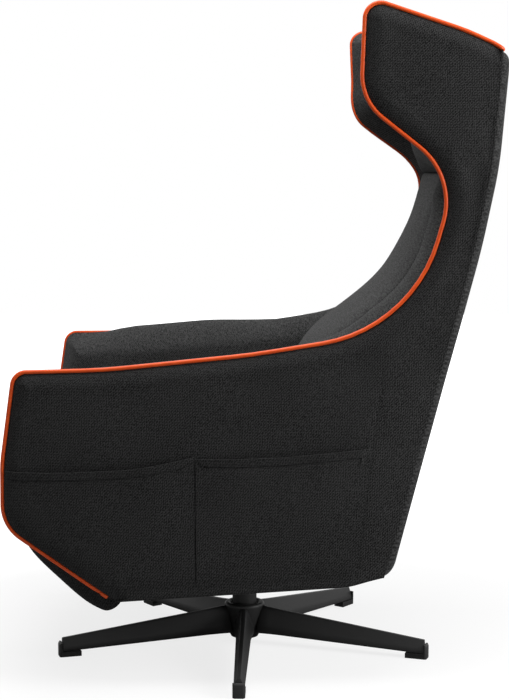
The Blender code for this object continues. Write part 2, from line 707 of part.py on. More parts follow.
def build_swivel():
    """The mounting board, the swivel plate on its spindle, the bolts and the dust cover"""
    width, length, thick = MOUNT_BOARD
    middle_y = (FRONT_BEAM_Y + REAR_BEAM_Y) / 2
    board = box(-width / 2, width / 2, middle_y - length / 2, middle_y + length / 2, MOUNT_BOARD_Z,
                MOUNT_BOARD_Z + thick)
    board = piece("mount_board", board, PLYWOOD, swivel_axis)
    half = PLATE[0] / 2
    plate = box(-half, half, -half, half, PLATE_BOTTOM_Z, PLATE_TOP_Z)
    uprights = [edge for edge in plate.edges if abs(edge.verts[0].co.z - edge.verts[1].co.z) > PLATE[1] / 2]
    bmesh.ops.bevel(plate, geom=uprights, offset=PLATE_BEVEL, segments=3, profile=0.5, affect="EDGES")
    plate = piece("swivel_plate", plate, BLACK_STEEL, swivel_axis)
    head_low = PLATE_BOTTOM_Z - GAP - BOLT_HEAD[1]
    number = 0
    for x in (-BOLT_SPACING / 2, BOLT_SPACING / 2):
        for y in (-BOLT_SPACING / 2, BOLT_SPACING / 2):
            number += 1
            wide = BOLT_RADIUS + GAP
            ends = (PLATE_BOTTOM_Z - GAP, MOUNT_BOARD_Z + 2 * thick)
            hole = turned([(wide, z) for z in ends], BOLT_STEPS, bored=False)
            hole = cutter("plate_hole_%d" % number, move(hole, x, y, 0), swivel_axis)
            cut(plate, hole)
            cut(board, hole)
            bolt = turned([(BOLT_HEAD[0], head_low), (BOLT_HEAD[0], head_low + BOLT_HEAD[1]),
                           (BOLT_RADIUS, head_low + BOLT_HEAD[1]), (BOLT_RADIUS, MOUNT_BOARD_Z + thick)],
                          BOLT_STEPS, bored=False)
            piece("plate_bolt_%d" % number, move(bolt, x, y, 0), STEEL, swivel_axis)
    groove = SPINDLE_RADIUS - GROOVE_DEPTH
    spindle = [(SPINDLE_RADIUS, SPINDLE_FOOT_Z), (SPINDLE_RADIUS, CLIP_Z - GAP), (groove, CLIP_Z - GAP),
               (groove, CLIP_Z + CLIP + GAP), (SPINDLE_RADIUS, CLIP_Z + CLIP + GAP),
               (SPINDLE_RADIUS, WASHER_TOP_Z + GAP), (TUBE_RADIUS, WASHER_TOP_Z + GAP),
               (TUBE_RADIUS, PLATE_BOTTOM_Z - GAP)]
    piece("swivel_spindle", turned(spindle, bored=False), BLACK_STEEL, swivel_axis)
    ring = [(groove + GAP, CLIP_Z), (SLEEVE_OUT - SLEEVE_WALL / 2, CLIP_Z),
            (SLEEVE_OUT - SLEEVE_WALL / 2, CLIP_Z + CLIP), (groove + GAP, CLIP_Z + CLIP)]
    piece("retaining_clip", turned(ring), STEEL, swivel_axis)
    rings = []
    for y in (DUST_FRONT_Y, UNDER[0], DUST_REAR_Y):
        high = bottom_z(y) + DUST_RISE
        low = high - DUST_COVER
        ring = [(-1, low), (1, low), (1, high), (-1, high)]
        rings.append([(side * (side_x(y, z) - SIDE_THICKNESS - SIDE_CLEARANCE), y, z) for side, z in ring])
    cover = piece("dust_cover", loft(rings), DUST_CLOTH, swivel_axis)
    wide = TUBE_RADIUS + SPINDLE_WAY
    way = turned([(wide, 0), (wide, MOUNT_BOARD_Z)], bored=False)
    cut(cover, cutter("spindle_way", way, swivel_axis))


def build_column():
    """The tube in the hub, with the bush and the washer that the spindle turns in"""
    inside = TUBE_RADIUS - TUBE_WALL
    tube = [(inside, TUBE_FOOT_Z), (TUBE_RADIUS, TUBE_FOOT_Z), (TUBE_RADIUS, TUBE_TOP_Z),
            (inside, TUBE_TOP_Z)]
    piece("column_tube", turned(tube), BLACK_STEEL, base_origin)
    bore = SLEEVE_OUT - SLEEVE_WALL
    sleeve_low = CLIP_Z + CLIP + GAP
    sleeve = [(bore, sleeve_low), (SLEEVE_OUT, sleeve_low), (SLEEVE_OUT, TUBE_TOP_Z + GAP),
              (TUBE_RADIUS, TUBE_TOP_Z + GAP), (TUBE_RADIUS, FLANGE_TOP_Z), (bore, FLANGE_TOP_Z)]
    piece("column_bush", turned(sleeve), NYLON, base_origin)
    low = FLANGE_TOP_Z + GAP
    washer = [(bore, low), (TUBE_RADIUS - GAP, low), (TUBE_RADIUS - GAP, WASHER_TOP_Z), (bore, WASHER_TOP_Z)]
    piece("thrust_washer", turned(washer), STEEL, base_origin)


def hub_radius(z):
    """The taper of the hub"""
    share = min(max((z - HUB_FOOT_Z) / (HUB_WIDE_Z - HUB_FOOT_Z), 0.0), 1.0)
    return blend(HUB_FOOT_RADIUS, HUB_TOP_RADIUS, share)


def build_base():
    """The hub, five legs and their caps"""
    bore = TUBE_RADIUS + GAP
    rim = HUB_TOP_Z - HUB_RIM_Z
    hub = [(bore, HUB_RING_Z), (HUB_RING_RADIUS, HUB_RING_Z), (HUB_RING_RADIUS, HUB_FOOT_Z),
           (HUB_FOOT_RADIUS, HUB_FOOT_Z), (HUB_TOP_RADIUS, HUB_WIDE_Z), (HUB_TOP_RADIUS, HUB_RIM_Z),
           (HUB_TOP_RADIUS - rim, HUB_TOP_Z), (bore, HUB_TOP_Z)]
    piece("base_hub", turned(hub, HUB_STEPS), BLACK_STEEL, base_origin)
    tip = BASE_RADIUS - CAP_LENGTH - GAP
    stations = ((None, LEG_ROOT), (HUB_TOP_RADIUS + LEG_WAIST_REACH, LEG_WAIST), (tip, LEG_TIP))
    for i in range(LEG_COUNT):
        angle = 2 * pi * i / LEG_COUNT
        rings = []
        for reach, (low, high, wide, narrow) in stations:
            shoulder = blend(low, high, LEG_SHOULDER)
            ring = []
            for across, z in ((-wide, low), (wide, low), (wide, shoulder), (narrow, high), (-narrow, high),
                              (-wide, shoulder)):
                ring.append(((reach or hub_radius(z) + GAP), across / 2, z))
            rings.append(ring)
        leg = loft(rings)
        bmesh.ops.rotate(leg, verts=leg.verts, cent=(0, 0, 0), matrix=turn_z(angle))
        piece("base_leg_%d" % (i + 1), leg, BLACK_STEEL, base_origin)
        inner, outer, sole = tip + GAP, BASE_RADIUS, BASE_RADIUS - CAP_SOLE
        under = LEG_TIP[0] - GAP
        side = [(sole, 0), (outer, 0), (outer, CAP_HEIGHT - CAP_CHAMFER), (outer - CAP_CHAMFER, CAP_HEIGHT),
                (inner, CAP_HEIGHT), (inner, under), (sole, under)]
        cap = loft([[(r, y, z) for r, z in side] for y in (-CAP_WIDTH / 2, CAP_WIDTH / 2)])
        toe = [edge for edge in cap.edges if all(abs(v.co.x - outer) < GAP for v in edge.verts)
               and abs(edge.verts[0].co.z - edge.verts[1].co.z) > CAP_CHAMFER]
        bmesh.ops.bevel(cap, geom=toe, offset=CAP_CHAMFER, segments=1, affect="EDGES")
        bmesh.ops.rotate(cap, verts=cap.verts, cent=(0, 0, 0), matrix=turn_z(angle))
        piece("foot_cap_%d" % (i + 1), cap, NYLON, base_origin)


def turn_z(angle):
    """A turn about the upright axis"""
    return Matrix.Rotation(angle, 3, "Z")


def along_x(bm):
    """Lay a body that was turned about Z along X"""
    for vert in bm.verts:
        vert.co = Vector((vert.co.z, vert.co.x, vert.co.y))
    return bm


def build_footrest():
    """The footrest on its rod, with the brackets that carry the rod on the front rail"""
    half = (FOOTREST_HALF_WIDTH, (FOOTREST_HEAD + FOOTREST_LENGTH) / 2, (FOOTREST_FACE + FOOTREST_REAR) / 2)
    pad = cushion(half, FOOTREST_ROUND, (6, 8, 1), footrest_place)
    pad = piece("footrest_pad", pad, CHARCOAL, footrest_axis)
    bush_bore = ROD_RADIUS + BUSH_CLEARANCE
    bush_out = bush_bore + BUSH_WALL
    reach = 2 * FOOTREST_HALF_WIDTH
    bore = along_x(turned([(bush_out + GAP, -reach), (bush_out + GAP, reach)], ROD_STEPS, bored=False))
    cut(pad, cutter("rod_bore", bore, footrest_axis))
    for name, side in (("left", 1), ("right", -1)):
        low, high = FOOTREST_HALF_WIDTH - BUSH_LENGTH, FOOTREST_HALF_WIDTH
        ring = [(bush_bore, low), (bush_out, low), (bush_out, high), (bush_bore, high)]
        bush = along_x(turned([(radius, side * x) for radius, x in ring], ROD_STEPS))
        piece("footrest_bush_" + name, bush, NYLON, footrest_axis)
        build_bracket("footrest_bracket_" + name, side)
    rings = []
    for out in (-FOOTREST_REAR - GAP - FOOTREST_BOARD, -FOOTREST_REAR - GAP):
        width, start = FOOTREST_HALF_WIDTH - FOOTREST_BOARD_INSET, bush_out + FOOTREST_BOARD_INSET / 2
        end = FOOTREST_LENGTH - FOOTREST_BOARD_INSET
        rings.append([footrest_point(x, along, out) for x, along in
                      ((-width, start), (width, start), (width, end), (-width, end))])
    piece("footrest_board", loft(rings), PLYWOOD, footrest_axis)
    end = bracket_face() + BRACKET + GAP + ROD_HEAD
    profile = [(ROD_RADIUS, -end), (ROD_RADIUS, end)]
    rod = piece("footrest_rod", along_x(turned(profile, ROD_STEPS, bored=False)), STEEL, swivel_axis)
    rod.location = footrest_axis.location


def bracket_face():
    """The inner face of the footrest brackets"""
    return FOOTREST_HALF_WIDTH + BRACKET_CLEARANCE


def build_bracket(name, side):
    """A plate with an eye for the rod, standing on the front face of the front rail"""
    rail = RAILS["front_rail"]
    face = rail[0] - rail[2] / 2 - GAP
    low, high = rail[1] - rail[3] / 2, rail[1] + rail[3] / 2
    pivot_y, pivot_z = FOOTREST_PIVOT
    section = [(face, low), (face, high)]
    start, sweep, steps = radians(60), radians(240), 8
    for i in range(steps + 1):
        angle = start + sweep * i / steps
        section.append((pivot_y + BRACKET_EYE * cos(angle), pivot_z + BRACKET_EYE * sin(angle)))
    ends = (bracket_face(), bracket_face() + BRACKET)
    plate = loft([[(side * x, y, z) for y, z in section] for x in ends])
    plate = piece(name, plate, BLACK_STEEL, swivel_axis)
    hole = ROD_RADIUS + GAP
    eye = along_x(turned([(hole, ends[0] / 2), (hole, ends[1] * 2)], ROD_STEPS, bored=False))
    if side < 0:
        bmesh.ops.scale(eye, vec=(-1, 1, 1), verts=eye.verts)
    eye = cutter(name + "_eye", eye, swivel_axis)
    eye.location = footrest_axis.location
    cut(plate, eye)


def build_cushions():
    """Seat, back and headrest"""
    half_width = HALF_WIDTH - SIDE_THICKNESS
    half = (half_width, (SEAT_REAR_Y - SEAT_FRONT_Y) / 2, SEAT_THICKNESS / 2)
    piece("seat_cushion", cushion(half, SEAT_ROUND, (6, 8, 2), seat_place), GREY, swivel_axis)
    half = (half_width, (BACK_CUSHION_TOP - BACK_CUSHION_BOTTOM) / 2, BACK_CUSHION_DEPTH / 2)
    piece("back_cushion", cushion(half, BACK_CUSHION_ROUND, (6, 9, 2), back_place), GREY, swivel_axis)
    half = (half_width, (HEADREST_TOP - HEADREST_BOTTOM) / 2, HEADREST_DEPTH / 2)
    piece("headrest_cushion", cushion(half, HEADREST_ROUND, (6, 4, 1), headrest_place), GREY, swivel_axis)


def build_chair():
    """Everything above the base"""
    rail_cutters = []
    for name, place in RAILS.items():
        piece(name, rail_body(*place, 0, BOARD_IN + GAP), BEECH, swivel_axis)
        rail_cutters.append(cutter(name + "_way", rail_body(*place, GAP, BOARD_IN - BOARD / 2), swivel_axis))
    for name, side in (("left", 1), ("right", -1)):
        build_side(name, side, rail_cutters)
        build_pocket(name + "_front_pocket", FRONT_HEM_START, FRONT_HEM_END, side)
        build_pocket(name + "_rear_pocket", REAR_HEM_START, REAR_HEM_END, side)
    build_back_pad()
    build_top_pad()
    build_springs()
    build_cushions()
    build_swivel()
    build_footrest()


build_base()
build_column()
build_chair()
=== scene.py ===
import json
import math
import bmesh
import bpy
from mathutils import Matrix, Vector, noise
from mathutils.kdtree import KDTree


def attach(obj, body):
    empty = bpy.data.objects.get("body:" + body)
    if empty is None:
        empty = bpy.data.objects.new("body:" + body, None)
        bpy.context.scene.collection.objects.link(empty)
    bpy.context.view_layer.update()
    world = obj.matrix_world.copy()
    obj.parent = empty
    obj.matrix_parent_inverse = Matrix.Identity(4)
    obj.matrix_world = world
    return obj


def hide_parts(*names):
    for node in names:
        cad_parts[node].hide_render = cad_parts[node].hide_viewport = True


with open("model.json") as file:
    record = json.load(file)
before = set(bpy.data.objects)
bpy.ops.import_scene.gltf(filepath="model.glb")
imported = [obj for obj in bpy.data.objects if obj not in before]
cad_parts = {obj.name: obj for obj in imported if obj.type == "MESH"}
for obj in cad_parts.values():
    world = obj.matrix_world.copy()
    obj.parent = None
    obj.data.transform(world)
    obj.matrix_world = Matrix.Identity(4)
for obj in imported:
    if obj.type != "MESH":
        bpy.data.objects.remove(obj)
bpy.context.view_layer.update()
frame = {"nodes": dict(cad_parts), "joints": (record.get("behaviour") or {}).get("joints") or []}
scene = bpy.context.scene
joints = {joint["name"]: joint for joint in frame["joints"]}
axisY = joints["swivel"]["pos_m"][1]                 # sizes below are measured from the swivel axis
footrestRod = joints["footrest_hinge"]["pos_m"]
hair = 1e-5                                          # closer than this counts as level
print("frame loaded:", len(frame["nodes"]), "nodes")


# Working by hand: selecting, tracing, extruding and slicing

def deselect():
    if bpy.context.mode != "OBJECT":
        bpy.ops.object.mode_set(mode="OBJECT")
    bpy.ops.object.select_all(action="DESELECT")


def choose(piece, mode="OBJECT"):
    deselect()
    piece.select_set(True)
    bpy.context.view_layer.objects.active = piece
    if mode == "EDIT":
        bpy.ops.object.mode_set(mode="EDIT")
    return piece


def named(name):
    piece = bpy.context.object
    piece.name = piece.data.name = name
    return piece


def pick(piece, kind, test):
    bpy.ops.mesh.select_mode(type=kind)
    bpy.ops.mesh.select_all(action="DESELECT")
    mesh = bmesh.from_edit_mesh(piece.data)
    for item in {"EDGE": mesh.edges, "FACE": mesh.faces}[kind]:
        if test(item):
            item.select_set(True)
    bmesh.update_edit_mesh(piece.data)


def selectAll():
    bpy.ops.mesh.select_all(action="SELECT")


def mergeDoubles(threshold):
    selectAll()
    bpy.ops.mesh.remove_doubles(threshold=threshold)


def facesOut():
    selectAll()
    bpy.ops.mesh.normals_make_consistent(inside=False)


def traceLine(name, points):
    deselect()
    bpy.ops.mesh.primitive_plane_add()
    piece = named(name)
    bpy.ops.object.mode_set(mode="EDIT")
    bpy.ops.mesh.select_mode(type="VERT")
    selectAll()
    bpy.ops.mesh.merge(type="CENTER")
    bpy.ops.transform.translate(value=points[0])
    for here, there in zip(points, points[1:]):
        step = [b - a for a, b in zip(here, there)]
        bpy.ops.mesh.extrude_region_move(TRANSFORM_OT_translate={"value": step})
    mesh = bmesh.from_edit_mesh(piece.data)
    for vert, point in zip(mesh.verts, points):      # clears what the many small moves add up to
        vert.co = point
    bmesh.update_edit_mesh(piece.data)
    return piece


def laidOut(name, points):
    # the new primitive with its points in their places, all selected for the next push
    piece = named(name)
    for vert, point in zip(piece.data.vertices, points):
        vert.co = point
    choose(piece, "EDIT")
    bpy.ops.mesh.select_mode(type="VERT")
    selectAll()
    return piece


def closedLoop(name, points):
    deselect()
    bpy.ops.mesh.primitive_circle_add(vertices=len(points))
    return laidOut(name, points)


def pushCap(piece, here, there):
    bpy.ops.mesh.extrude_region_move()
    finder = KDTree(len(here))
    for number, point in enumerate(here):
        finder.insert(point, number)
    finder.balance()
    mesh = bmesh.from_edit_mesh(piece.data)
    for vert in mesh.verts:
        if vert.select:
            vert.co = there[finder.find(vert.co)[1]]
    bmesh.update_edit_mesh(piece.data)


def drawThrough(piece, rings):
    for here, there in zip(rings, rings[1:]):
        pushCap(piece, here, there)


def stackRings(name, rings):
    # the first ring is closed by a face, which is drawn through the others
    piece = closedLoop(name, rings[0])
    bpy.ops.mesh.edge_face_add()
    drawThrough(piece, rings)
    facesOut()
    return piece


def cutPlane(piece, point, normal, test=None):
    if test is None:
        selectAll()
    else:
        pick(piece, "FACE", test)
    bpy.ops.mesh.bisect(plane_co=point, plane_no=normal)


def unit(axis):
    return Vector([1.0 if k == axis else 0.0 for k in range(3)])


def sliceGrid(piece, spacing, test=None):
    # cuts across y and z
    for axis in (1, 2):
        places = [vert.co[axis] for vert in bmesh.from_edit_mesh(piece.data).verts]
        low, high = min(places), max(places)
        count = math.ceil((high - low) / spacing)
        for k in range(1, count):
            cutPlane(piece, unit(axis) * (low + (high - low) * k / count), unit(axis), test)


def onFlat(level):
    # a test for the faces of the flat middle of a cover
    def test(face):
        return abs(face.calc_center_median().x - level) < hair and abs(face.normal.x) > 0.99
    return test


def finished(piece, smooth=40):
    choose(piece)
    bpy.ops.object.shade_smooth_by_angle(angle=math.radians(smooth))
    return piece


def applied(piece, kind, **settings):
    choose(piece)
    added = piece.modifiers.new(kind, kind)
    for key, value in settings.items():
        setattr(added, key, value)
    bpy.ops.object.modifier_apply(modifier=added.name)
    return piece


def reshaped(piece, place):
    deselect()
    for vert in piece.data.vertices:
        vert.co = place(*vert.co)
    piece.data.update()
    return piece


def turnedOver(piece):
    # to the other side of the chair
    reshaped(piece, lambda x, y, z: (-x, y, z))
    choose(piece, "EDIT")
    selectAll()
    bpy.ops.mesh.flip_normals()
    return piece


def copied(piece, name):
    choose(piece)
    bpy.ops.object.duplicate()
    return named(name)


def mirrored(piece, name):
    return finished(turnedOver(copied(piece, name)))


def dressed(piece, finish, replaces, body="chair"):
    deselect()
    piece.data.materials.clear()
    piece.data.materials.append(finish)
    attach(piece, body)
    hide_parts(*replaces)


# Stuffing: air pressure in the closed cover, with its sewn points held
stuffing = {"frames": 20, "quality": 5, "mass": 0.25, "tension": 30, "bending": 3}


def stuffed(piece, pressure, most, sewn):
    choose(piece)
    before = [vert.co.copy() for vert in piece.data.vertices]
    cloth = piece.modifiers.new("Cloth", "CLOTH")
    fabric = cloth.settings
    fabric.use_pressure = True
    fabric.uniform_pressure_force = pressure
    fabric.effector_weights.gravity = 0
    fabric.quality = stuffing["quality"]
    fabric.mass = stuffing["mass"]
    fabric.tension_stiffness = fabric.compression_stiffness = stuffing["tension"]
    fabric.bending_stiffness = stuffing["bending"]
    held = piece.vertex_groups.new(name="sewn")
    held.add([vert.index for vert in piece.data.vertices if sewn(vert.co)], 1.0, "REPLACE")
    fabric.vertex_group_mass = "sewn"
    cloth.point_cache.frame_end = stuffing["frames"]
    for step in range(1, stuffing["frames"] + 1):
        scene.frame_set(step)
    bpy.ops.object.modifier_apply(modifier="Cloth")
    for vert, old in zip(piece.data.vertices, before):
        moved = vert.co - old
        if moved.length > most:
            vert.co = old + moved * (most / moved.length)
    piece.vertex_groups.clear()
    scene.frame_set(1)
    print("stuffed", piece.name)


def mix(low, high, share):
    return low + (high - low) * share


def ease(share):
    share = min(max(share, 0.0), 1.0)
    return share * share * (3 - 2 * share)


def along(points, at, key=1):
    # the other coordinate of a given line at a place on it
    other = 1 - key
    ordered = sorted(points, key=lambda point: point[key])
    at = min(max(at, ordered[0][key]), ordered[-1][key])
    for one, two in zip(ordered, ordered[1:]):
        if at <= two[key]:
            return mix(one[other], two[other], (at - one[key]) / (two[key] - one[key]))
    return ordered[-1][other]


def rise(at, start, run):
    return ease((at - start) / run)


def softened(points, at, step):
    # such a line read as the mean of five places, which eases its bends
    return sum(along(points, at + k * step) for k in (-2, -1, 0, 1, 2)) / 5


# Shader expressions

class Wire:
    def __init__(self, tree, socket):
        self.tree, self.socket = tree, socket

    def node(self, kind, settings, sockets, output=0):
        made = self.tree.nodes.new(kind)
        for key, value in settings.items():
            if key == "stops":
                while len(made.color_ramp.elements) < len(value):
                    made.color_ramp.elements.new(0.5)
                for stop, (place, colour) in zip(made.color_ramp.elements, value):
                    stop.position, stop.color = place, (*colour, 1.0)
            else:
                setattr(made, key, value)
        for key, value in sockets.items():
            if isinstance(value, Wire):
                self.tree.links.new(value.socket, made.inputs[key])
            else:
                made.inputs[key].default_value = value
        return Wire(self.tree, made.outputs[output])

    def maths(self, operation, one, two=0.0):
        return self.node("ShaderNodeMath", {"operation": operation}, {0: one, 1: two})

    def __add__(self, other):
        return self.maths("ADD", self, other)

    def __radd__(self, other):
        return self.maths("ADD", other, self)

    def __sub__(self, other):
        return self.maths("SUBTRACT", self, other)

    def __rsub__(self, other):
        return self.maths("SUBTRACT", other, self)

    def __mul__(self, other):
        return self.maths("MULTIPLY", self, other)

    def __rmul__(self, other):
        return self.maths("MULTIPLY", other, self)

    def __truediv__(self, other):
        return self.maths("DIVIDE", self, other)

    def __rtruediv__(self, other):
        return self.maths("DIVIDE", other, self)

    def __pow__(self, other):
        return self.maths("POWER", self, other)

    def waves(self):
        return self.maths("SINE", self) * 0.5 + 0.5

    def clamped(self):
        return self.node("ShaderNodeClamp", {}, {"Value": self})

    def noise(self, scale, detail=2.0, roughness=0.5):
        return self.node("ShaderNodeTexNoise", {},
                         {"Vector": self, "Scale": scale, "Detail": detail, "Roughness": roughness})

    def stretched(self, scale):
        return self.node("ShaderNodeMapping", {}, {"Vector": self, "Scale": scale})

    def shades(self, *stops):
        return self.node("ShaderNodeValToRGB", {"stops": stops}, {"Fac": self})


def newFinish(name, **constants):
    finish = bpy.data.materials.new(name)
    finish.use_nodes = True
    shader = finish.node_tree.nodes["Principled BSDF"]
    for key, value in constants.items():
        shader.inputs[key.replace("_", " ")].default_value = value
    place = Wire(finish.node_tree, None).node("ShaderNodeTexCoord", {}, {}, "Object")

    def wear(colour, roughness, height, strength, distance):
        bump = place.node("ShaderNodeBump", {},
                          {"Height": height, "Strength": strength, "Distance": distance}, "Normal")
        for wire, socket in ((colour, "Base Color"), (roughness, "Roughness"), (bump, "Normal")):
            finish.node_tree.links.new(wire.socket, shader.inputs[socket])
        return finish

    return place, wear


def axesOf(place):
    return [place.node("ShaderNodeSeparateXYZ", {}, {"Vector": place}, axis) for axis in "XYZ"]


def grey(level):
    return (level, level, level)


# Twill: diagonal wales that run over every face of the chair, broken into single floats of yarn
twillCloth = {"wale": 0.0050, "float": 0.0052, "floatLean": 0.6, "wobbleScale": 150.0, "wobble": 3.0,
              "waleShare": 1.1, "floatShare": 4.6, "fleckShare": 3.08, "tone": 0.44,
              "cloudScale": 7.0, "cloudShare": 0.30, "weaveShare": 0.9, "lift": 0.05,
              "roughness": 0.80, "roughShare": 0.15, "bump": 0.45, "thick": 0.0007}


def twillFinish(name, dark, light, sheen, grain, stretch):
    place, wear = newFinish(name, Sheen_Weight=sheen, Sheen_Roughness=0.45, Specular_IOR_Level=0.1)
    x, y, z = axesOf(place)
    wobble = place.noise(twillCloth["wobbleScale"]) * twillCloth["wobble"]
    wales = (x + y - z) * (2 * math.pi / twillCloth["wale"])
    floats = (x * twillCloth["floatLean"] + y + z) * (2 * math.pi / twillCloth["float"])
    wale = (wales + wobble).waves() - 0.5
    yarn = (floats + wobble * 2.0).waves() - 0.5
    flecks = (place.stretched((stretch, 1.0, 1.0)).noise(grain, 1.0) - 0.5) * twillCloth["fleckShare"]
    weave = (wale * twillCloth["waleShare"] + wale * yarn * twillCloth["floatShare"] + flecks
             + twillCloth["tone"]).clamped()
    cloud = (place.noise(twillCloth["cloudScale"], 3.0) - 0.5) * twillCloth["cloudShare"]
    tone = (weave * twillCloth["weaveShare"] + cloud + twillCloth["lift"]).clamped()
    colour = tone.shades((0.0, grey(dark)), (1.0, grey(light)))
    rough = twillCloth["roughness"] + weave * twillCloth["roughShare"]
    return wear(colour, rough, weave, twillCloth["bump"], twillCloth["thick"])


# Piping cloth: fine ribs across the cord
pipingCloth = {"rib": 0.0011, "lean": 0.8, "cloudScale": 60.0, "ribShare": 0.35, "cloudShare": 0.65,
               "deep": (0.56, 0.050, 0.004), "bright": (0.78, 0.094, 0.006), "roughness": 0.38,
               "roughShare": 0.10, "bump": 0.15, "thick": 0.0002}


def pipingFinish():
    place, wear = newFinish("orange_piping", Specular_IOR_Level=0.3)
    x, y, z = axesOf(place)
    ribs = ((x + y * pipingCloth["lean"] - z) * (2 * math.pi / pipingCloth["rib"])).waves()
    cloud = place.noise(pipingCloth["cloudScale"])
    shade = (ribs * pipingCloth["ribShare"] + cloud * pipingCloth["cloudShare"]).clamped()
    colour = shade.shades((0.15, pipingCloth["deep"]), (0.85, pipingCloth["bright"]))
    rough = pipingCloth["roughness"] + ribs * pipingCloth["roughShare"]
    return wear(colour, rough, ribs, pipingCloth["bump"], pipingCloth["thick"])


# Paint and moulded nylon: pores under a soft cloud
paint = {"cloudScale": 14.0, "cloudShare": 0.7, "poreShare": 0.3, "darker": 0.85, "lighter": 1.2,
         "cloudRough": 0.16, "poreRough": 0.1, "thick": 0.0003}


def paintFinish(name, level, roughness, grain, bump):
    place, wear = newFinish(name, Specular_IOR_Level=0.3)
    pores = place.noise(grain)
    cloud = place.noise(paint["cloudScale"], 3.0)
    shade = cloud * paint["cloudShare"] + pores * paint["poreShare"]
    colour = shade.shades((0.3, grey(level * paint["darker"])), (0.75, grey(level * paint["lighter"])))
    rough = roughness + (cloud - 0.5) * paint["cloudRough"] + (pores - 0.5) * paint["poreRough"]
    return wear(colour, rough, pores, bump, paint["thick"])


# Zinc plating: small flakes under a soft cloud
zincCoat = {"flakeScale": 240.0, "cloudScale": 30.0, "flakeShare": 0.25, "cloudShare": 0.75,
            "dull": (0.42, 0.43, 0.44), "bright": (0.66, 0.66, 0.64), "roughness": 0.28, "roughShare": 0.2,
            "bump": 0.05, "thick": 0.0003}


def zincFinish():
    place, wear = newFinish("zinc_steel", Metallic=1.0)
    scale = zincCoat["flakeScale"]
    cells = place.node("ShaderNodeTexVoronoi", {}, {"Vector": place, "Scale": scale}, "Color")
    flakes = place.node("ShaderNodeSeparateColor", {}, {"Color": cells}, "Red")
    cloud = place.noise(zincCoat["cloudScale"], 3.0)
    tone = flakes * zincCoat["flakeShare"] + cloud * zincCoat["cloudShare"]
    colour = tone.shades((0.25, zincCoat["dull"]), (0.8, zincCoat["bright"]))
    rough = zincCoat["roughness"] + cloud * zincCoat["roughShare"]
    return wear(colour, rough, cloud, zincCoat["bump"], zincCoat["thick"])


# Wood: rings drawn out along the grain
woodGrain = {"figure": 7.0, "rings": 60.0, "ringShare": 0.5, "pores": 60.0, "poreShare": 0.5,
             "roughness": 0.55, "roughShare": 0.2, "bump": 0.1, "thick": 0.0004}


def woodFinish(name, dark, light, stretch):
    place, wear = newFinish(name, Specular_IOR_Level=0.3)
    lengths = place.stretched(stretch)
    figure = lengths.noise(woodGrain["figure"], 4.0, 0.6)
    pores = lengths.noise(woodGrain["pores"], 3.0)
    rings = (figure * woodGrain["rings"]).waves() * woodGrain["ringShare"] + pores * woodGrain["poreShare"]
    colour = rings.shades((0.15, dark), (0.85, light))
    rough = woodGrain["roughness"] + rings * woodGrain["roughShare"]
    return wear(colour, rough, rings, woodGrain["bump"], woodGrain["thick"])


# Dust cloth: pressed fibres with a dotted bond
dustFelt = {"fibres": 700.0, "dots": 420.0, "share": 0.6, "dark": 0.006, "light": 0.018, "roughness": 0.85,
            "roughShare": 0.1, "bump": 0.3, "thick": 0.0004}


def dustFinish():
    place, wear = newFinish("dust_cloth", Sheen_Weight=0.1, Specular_IOR_Level=0.2)
    felt = place.noise(dustFelt["fibres"], 3.0, 0.7)
    dots = place.node("ShaderNodeTexVoronoi", {}, {"Vector": place, "Scale": dustFelt["dots"]}, "Distance")
    shade = felt * dustFelt["share"] + dots * dustFelt["share"]
    colour = shade.shades((0.2, grey(dustFelt["dark"])), (0.9, grey(dustFelt["light"])))
    rough = dustFelt["roughness"] + felt * dustFelt["roughShare"]
    return wear(colour, rough, shade, dustFelt["bump"], dustFelt["thick"])


charcoal = twillFinish("charcoal_twill", dark=0.0010, light=0.0410, sheen=0.05, grain=520.0, stretch=0.16)
# The inner covers and cushions take the same twill painted lighter: painted light for the brighter light
# these inner faces catch from above
paintedLightTwill = twillFinish("grey_twill", dark=0.0030, light=0.0710, sheen=0.03, grain=450.0, stretch=0.12)
orange = pipingFinish()
blackSteel = paintFinish("black_steel", level=0.011, roughness=0.50, grain=900.0, bump=0.12)
blackNylon = paintFinish("black_nylon", level=0.008, roughness=0.55, grain=420.0, bump=0.2)
zinc = zincFinish()
beech = woodFinish("beech", dark=(0.36, 0.20, 0.09), light=(0.58, 0.38, 0.20), stretch=(0.25, 3.0, 3.0))
plywood = woodFinish("plywood", dark=(0.40, 0.26, 0.13), light=(0.62, 0.46, 0.28), stretch=(4.0, 0.5, 0.5))
dustCloth = dustFinish()
print("finishes made")


# Outline of a side, as its piping runs: corner (y, z), radius, and the edge that leaves it
side = {
    "corners": [
        (-0.212, 0.1525, 0.014, "rim"), (-0.3936, 0.2860, 0.070, "rim"), (-0.3923, 0.392, 0.190, "rim"),
        (-0.3698, 0.545, 0.024, "rim"), (-0.225, 0.5475, 0.900, "rim"), (0.020, 0.5712, 1.200, "rim"),
        (0.287, 0.6135, 0.235, "rim"), (0.356, 0.865, 0.116, "rim"), (0.1985, 0.987, 0.085, "rim"),
        (0.204, 1.1525, 0.026, "rim"), (0.370, 1.099, 0.350, "rim"), (0.4425, 1.0665, 0.003, "rear"),
        (0.4277, 0.880, 1.2, "rear"), (0.4010, 0.745, 1.5, "rear"), (0.2590, 0.1925, 0.002, "bottom"),
        (0.183, 0.1728, 0.120, "bottom")],
    "arcStep": math.radians(6), "longest": 0.020, "sharpest": 0.002,
    "halfWidth": 0.3195, "armHeight": 0.570, "armTop": 0.70, "splay": 0.08, "lean": 0.05, "thickness": 0.085,
    "backPad": 0.016, "rearInset": 0.0168, "rearFoot": (0.2333, 0.0925), "rearSoft": 0.015,
    "foldSlope": 0.10, "foldSoft": 0.012, "foldEnd": (0.50, 0.14),
    "seam": [(0.243, 0.640), (0.235, 0.513), (0.221, 0.413), (0.2085, 0.292), (0.192, 0.165)]}
topCorner = next(corner for corner in side["corners"] if corner[3] == "rear")
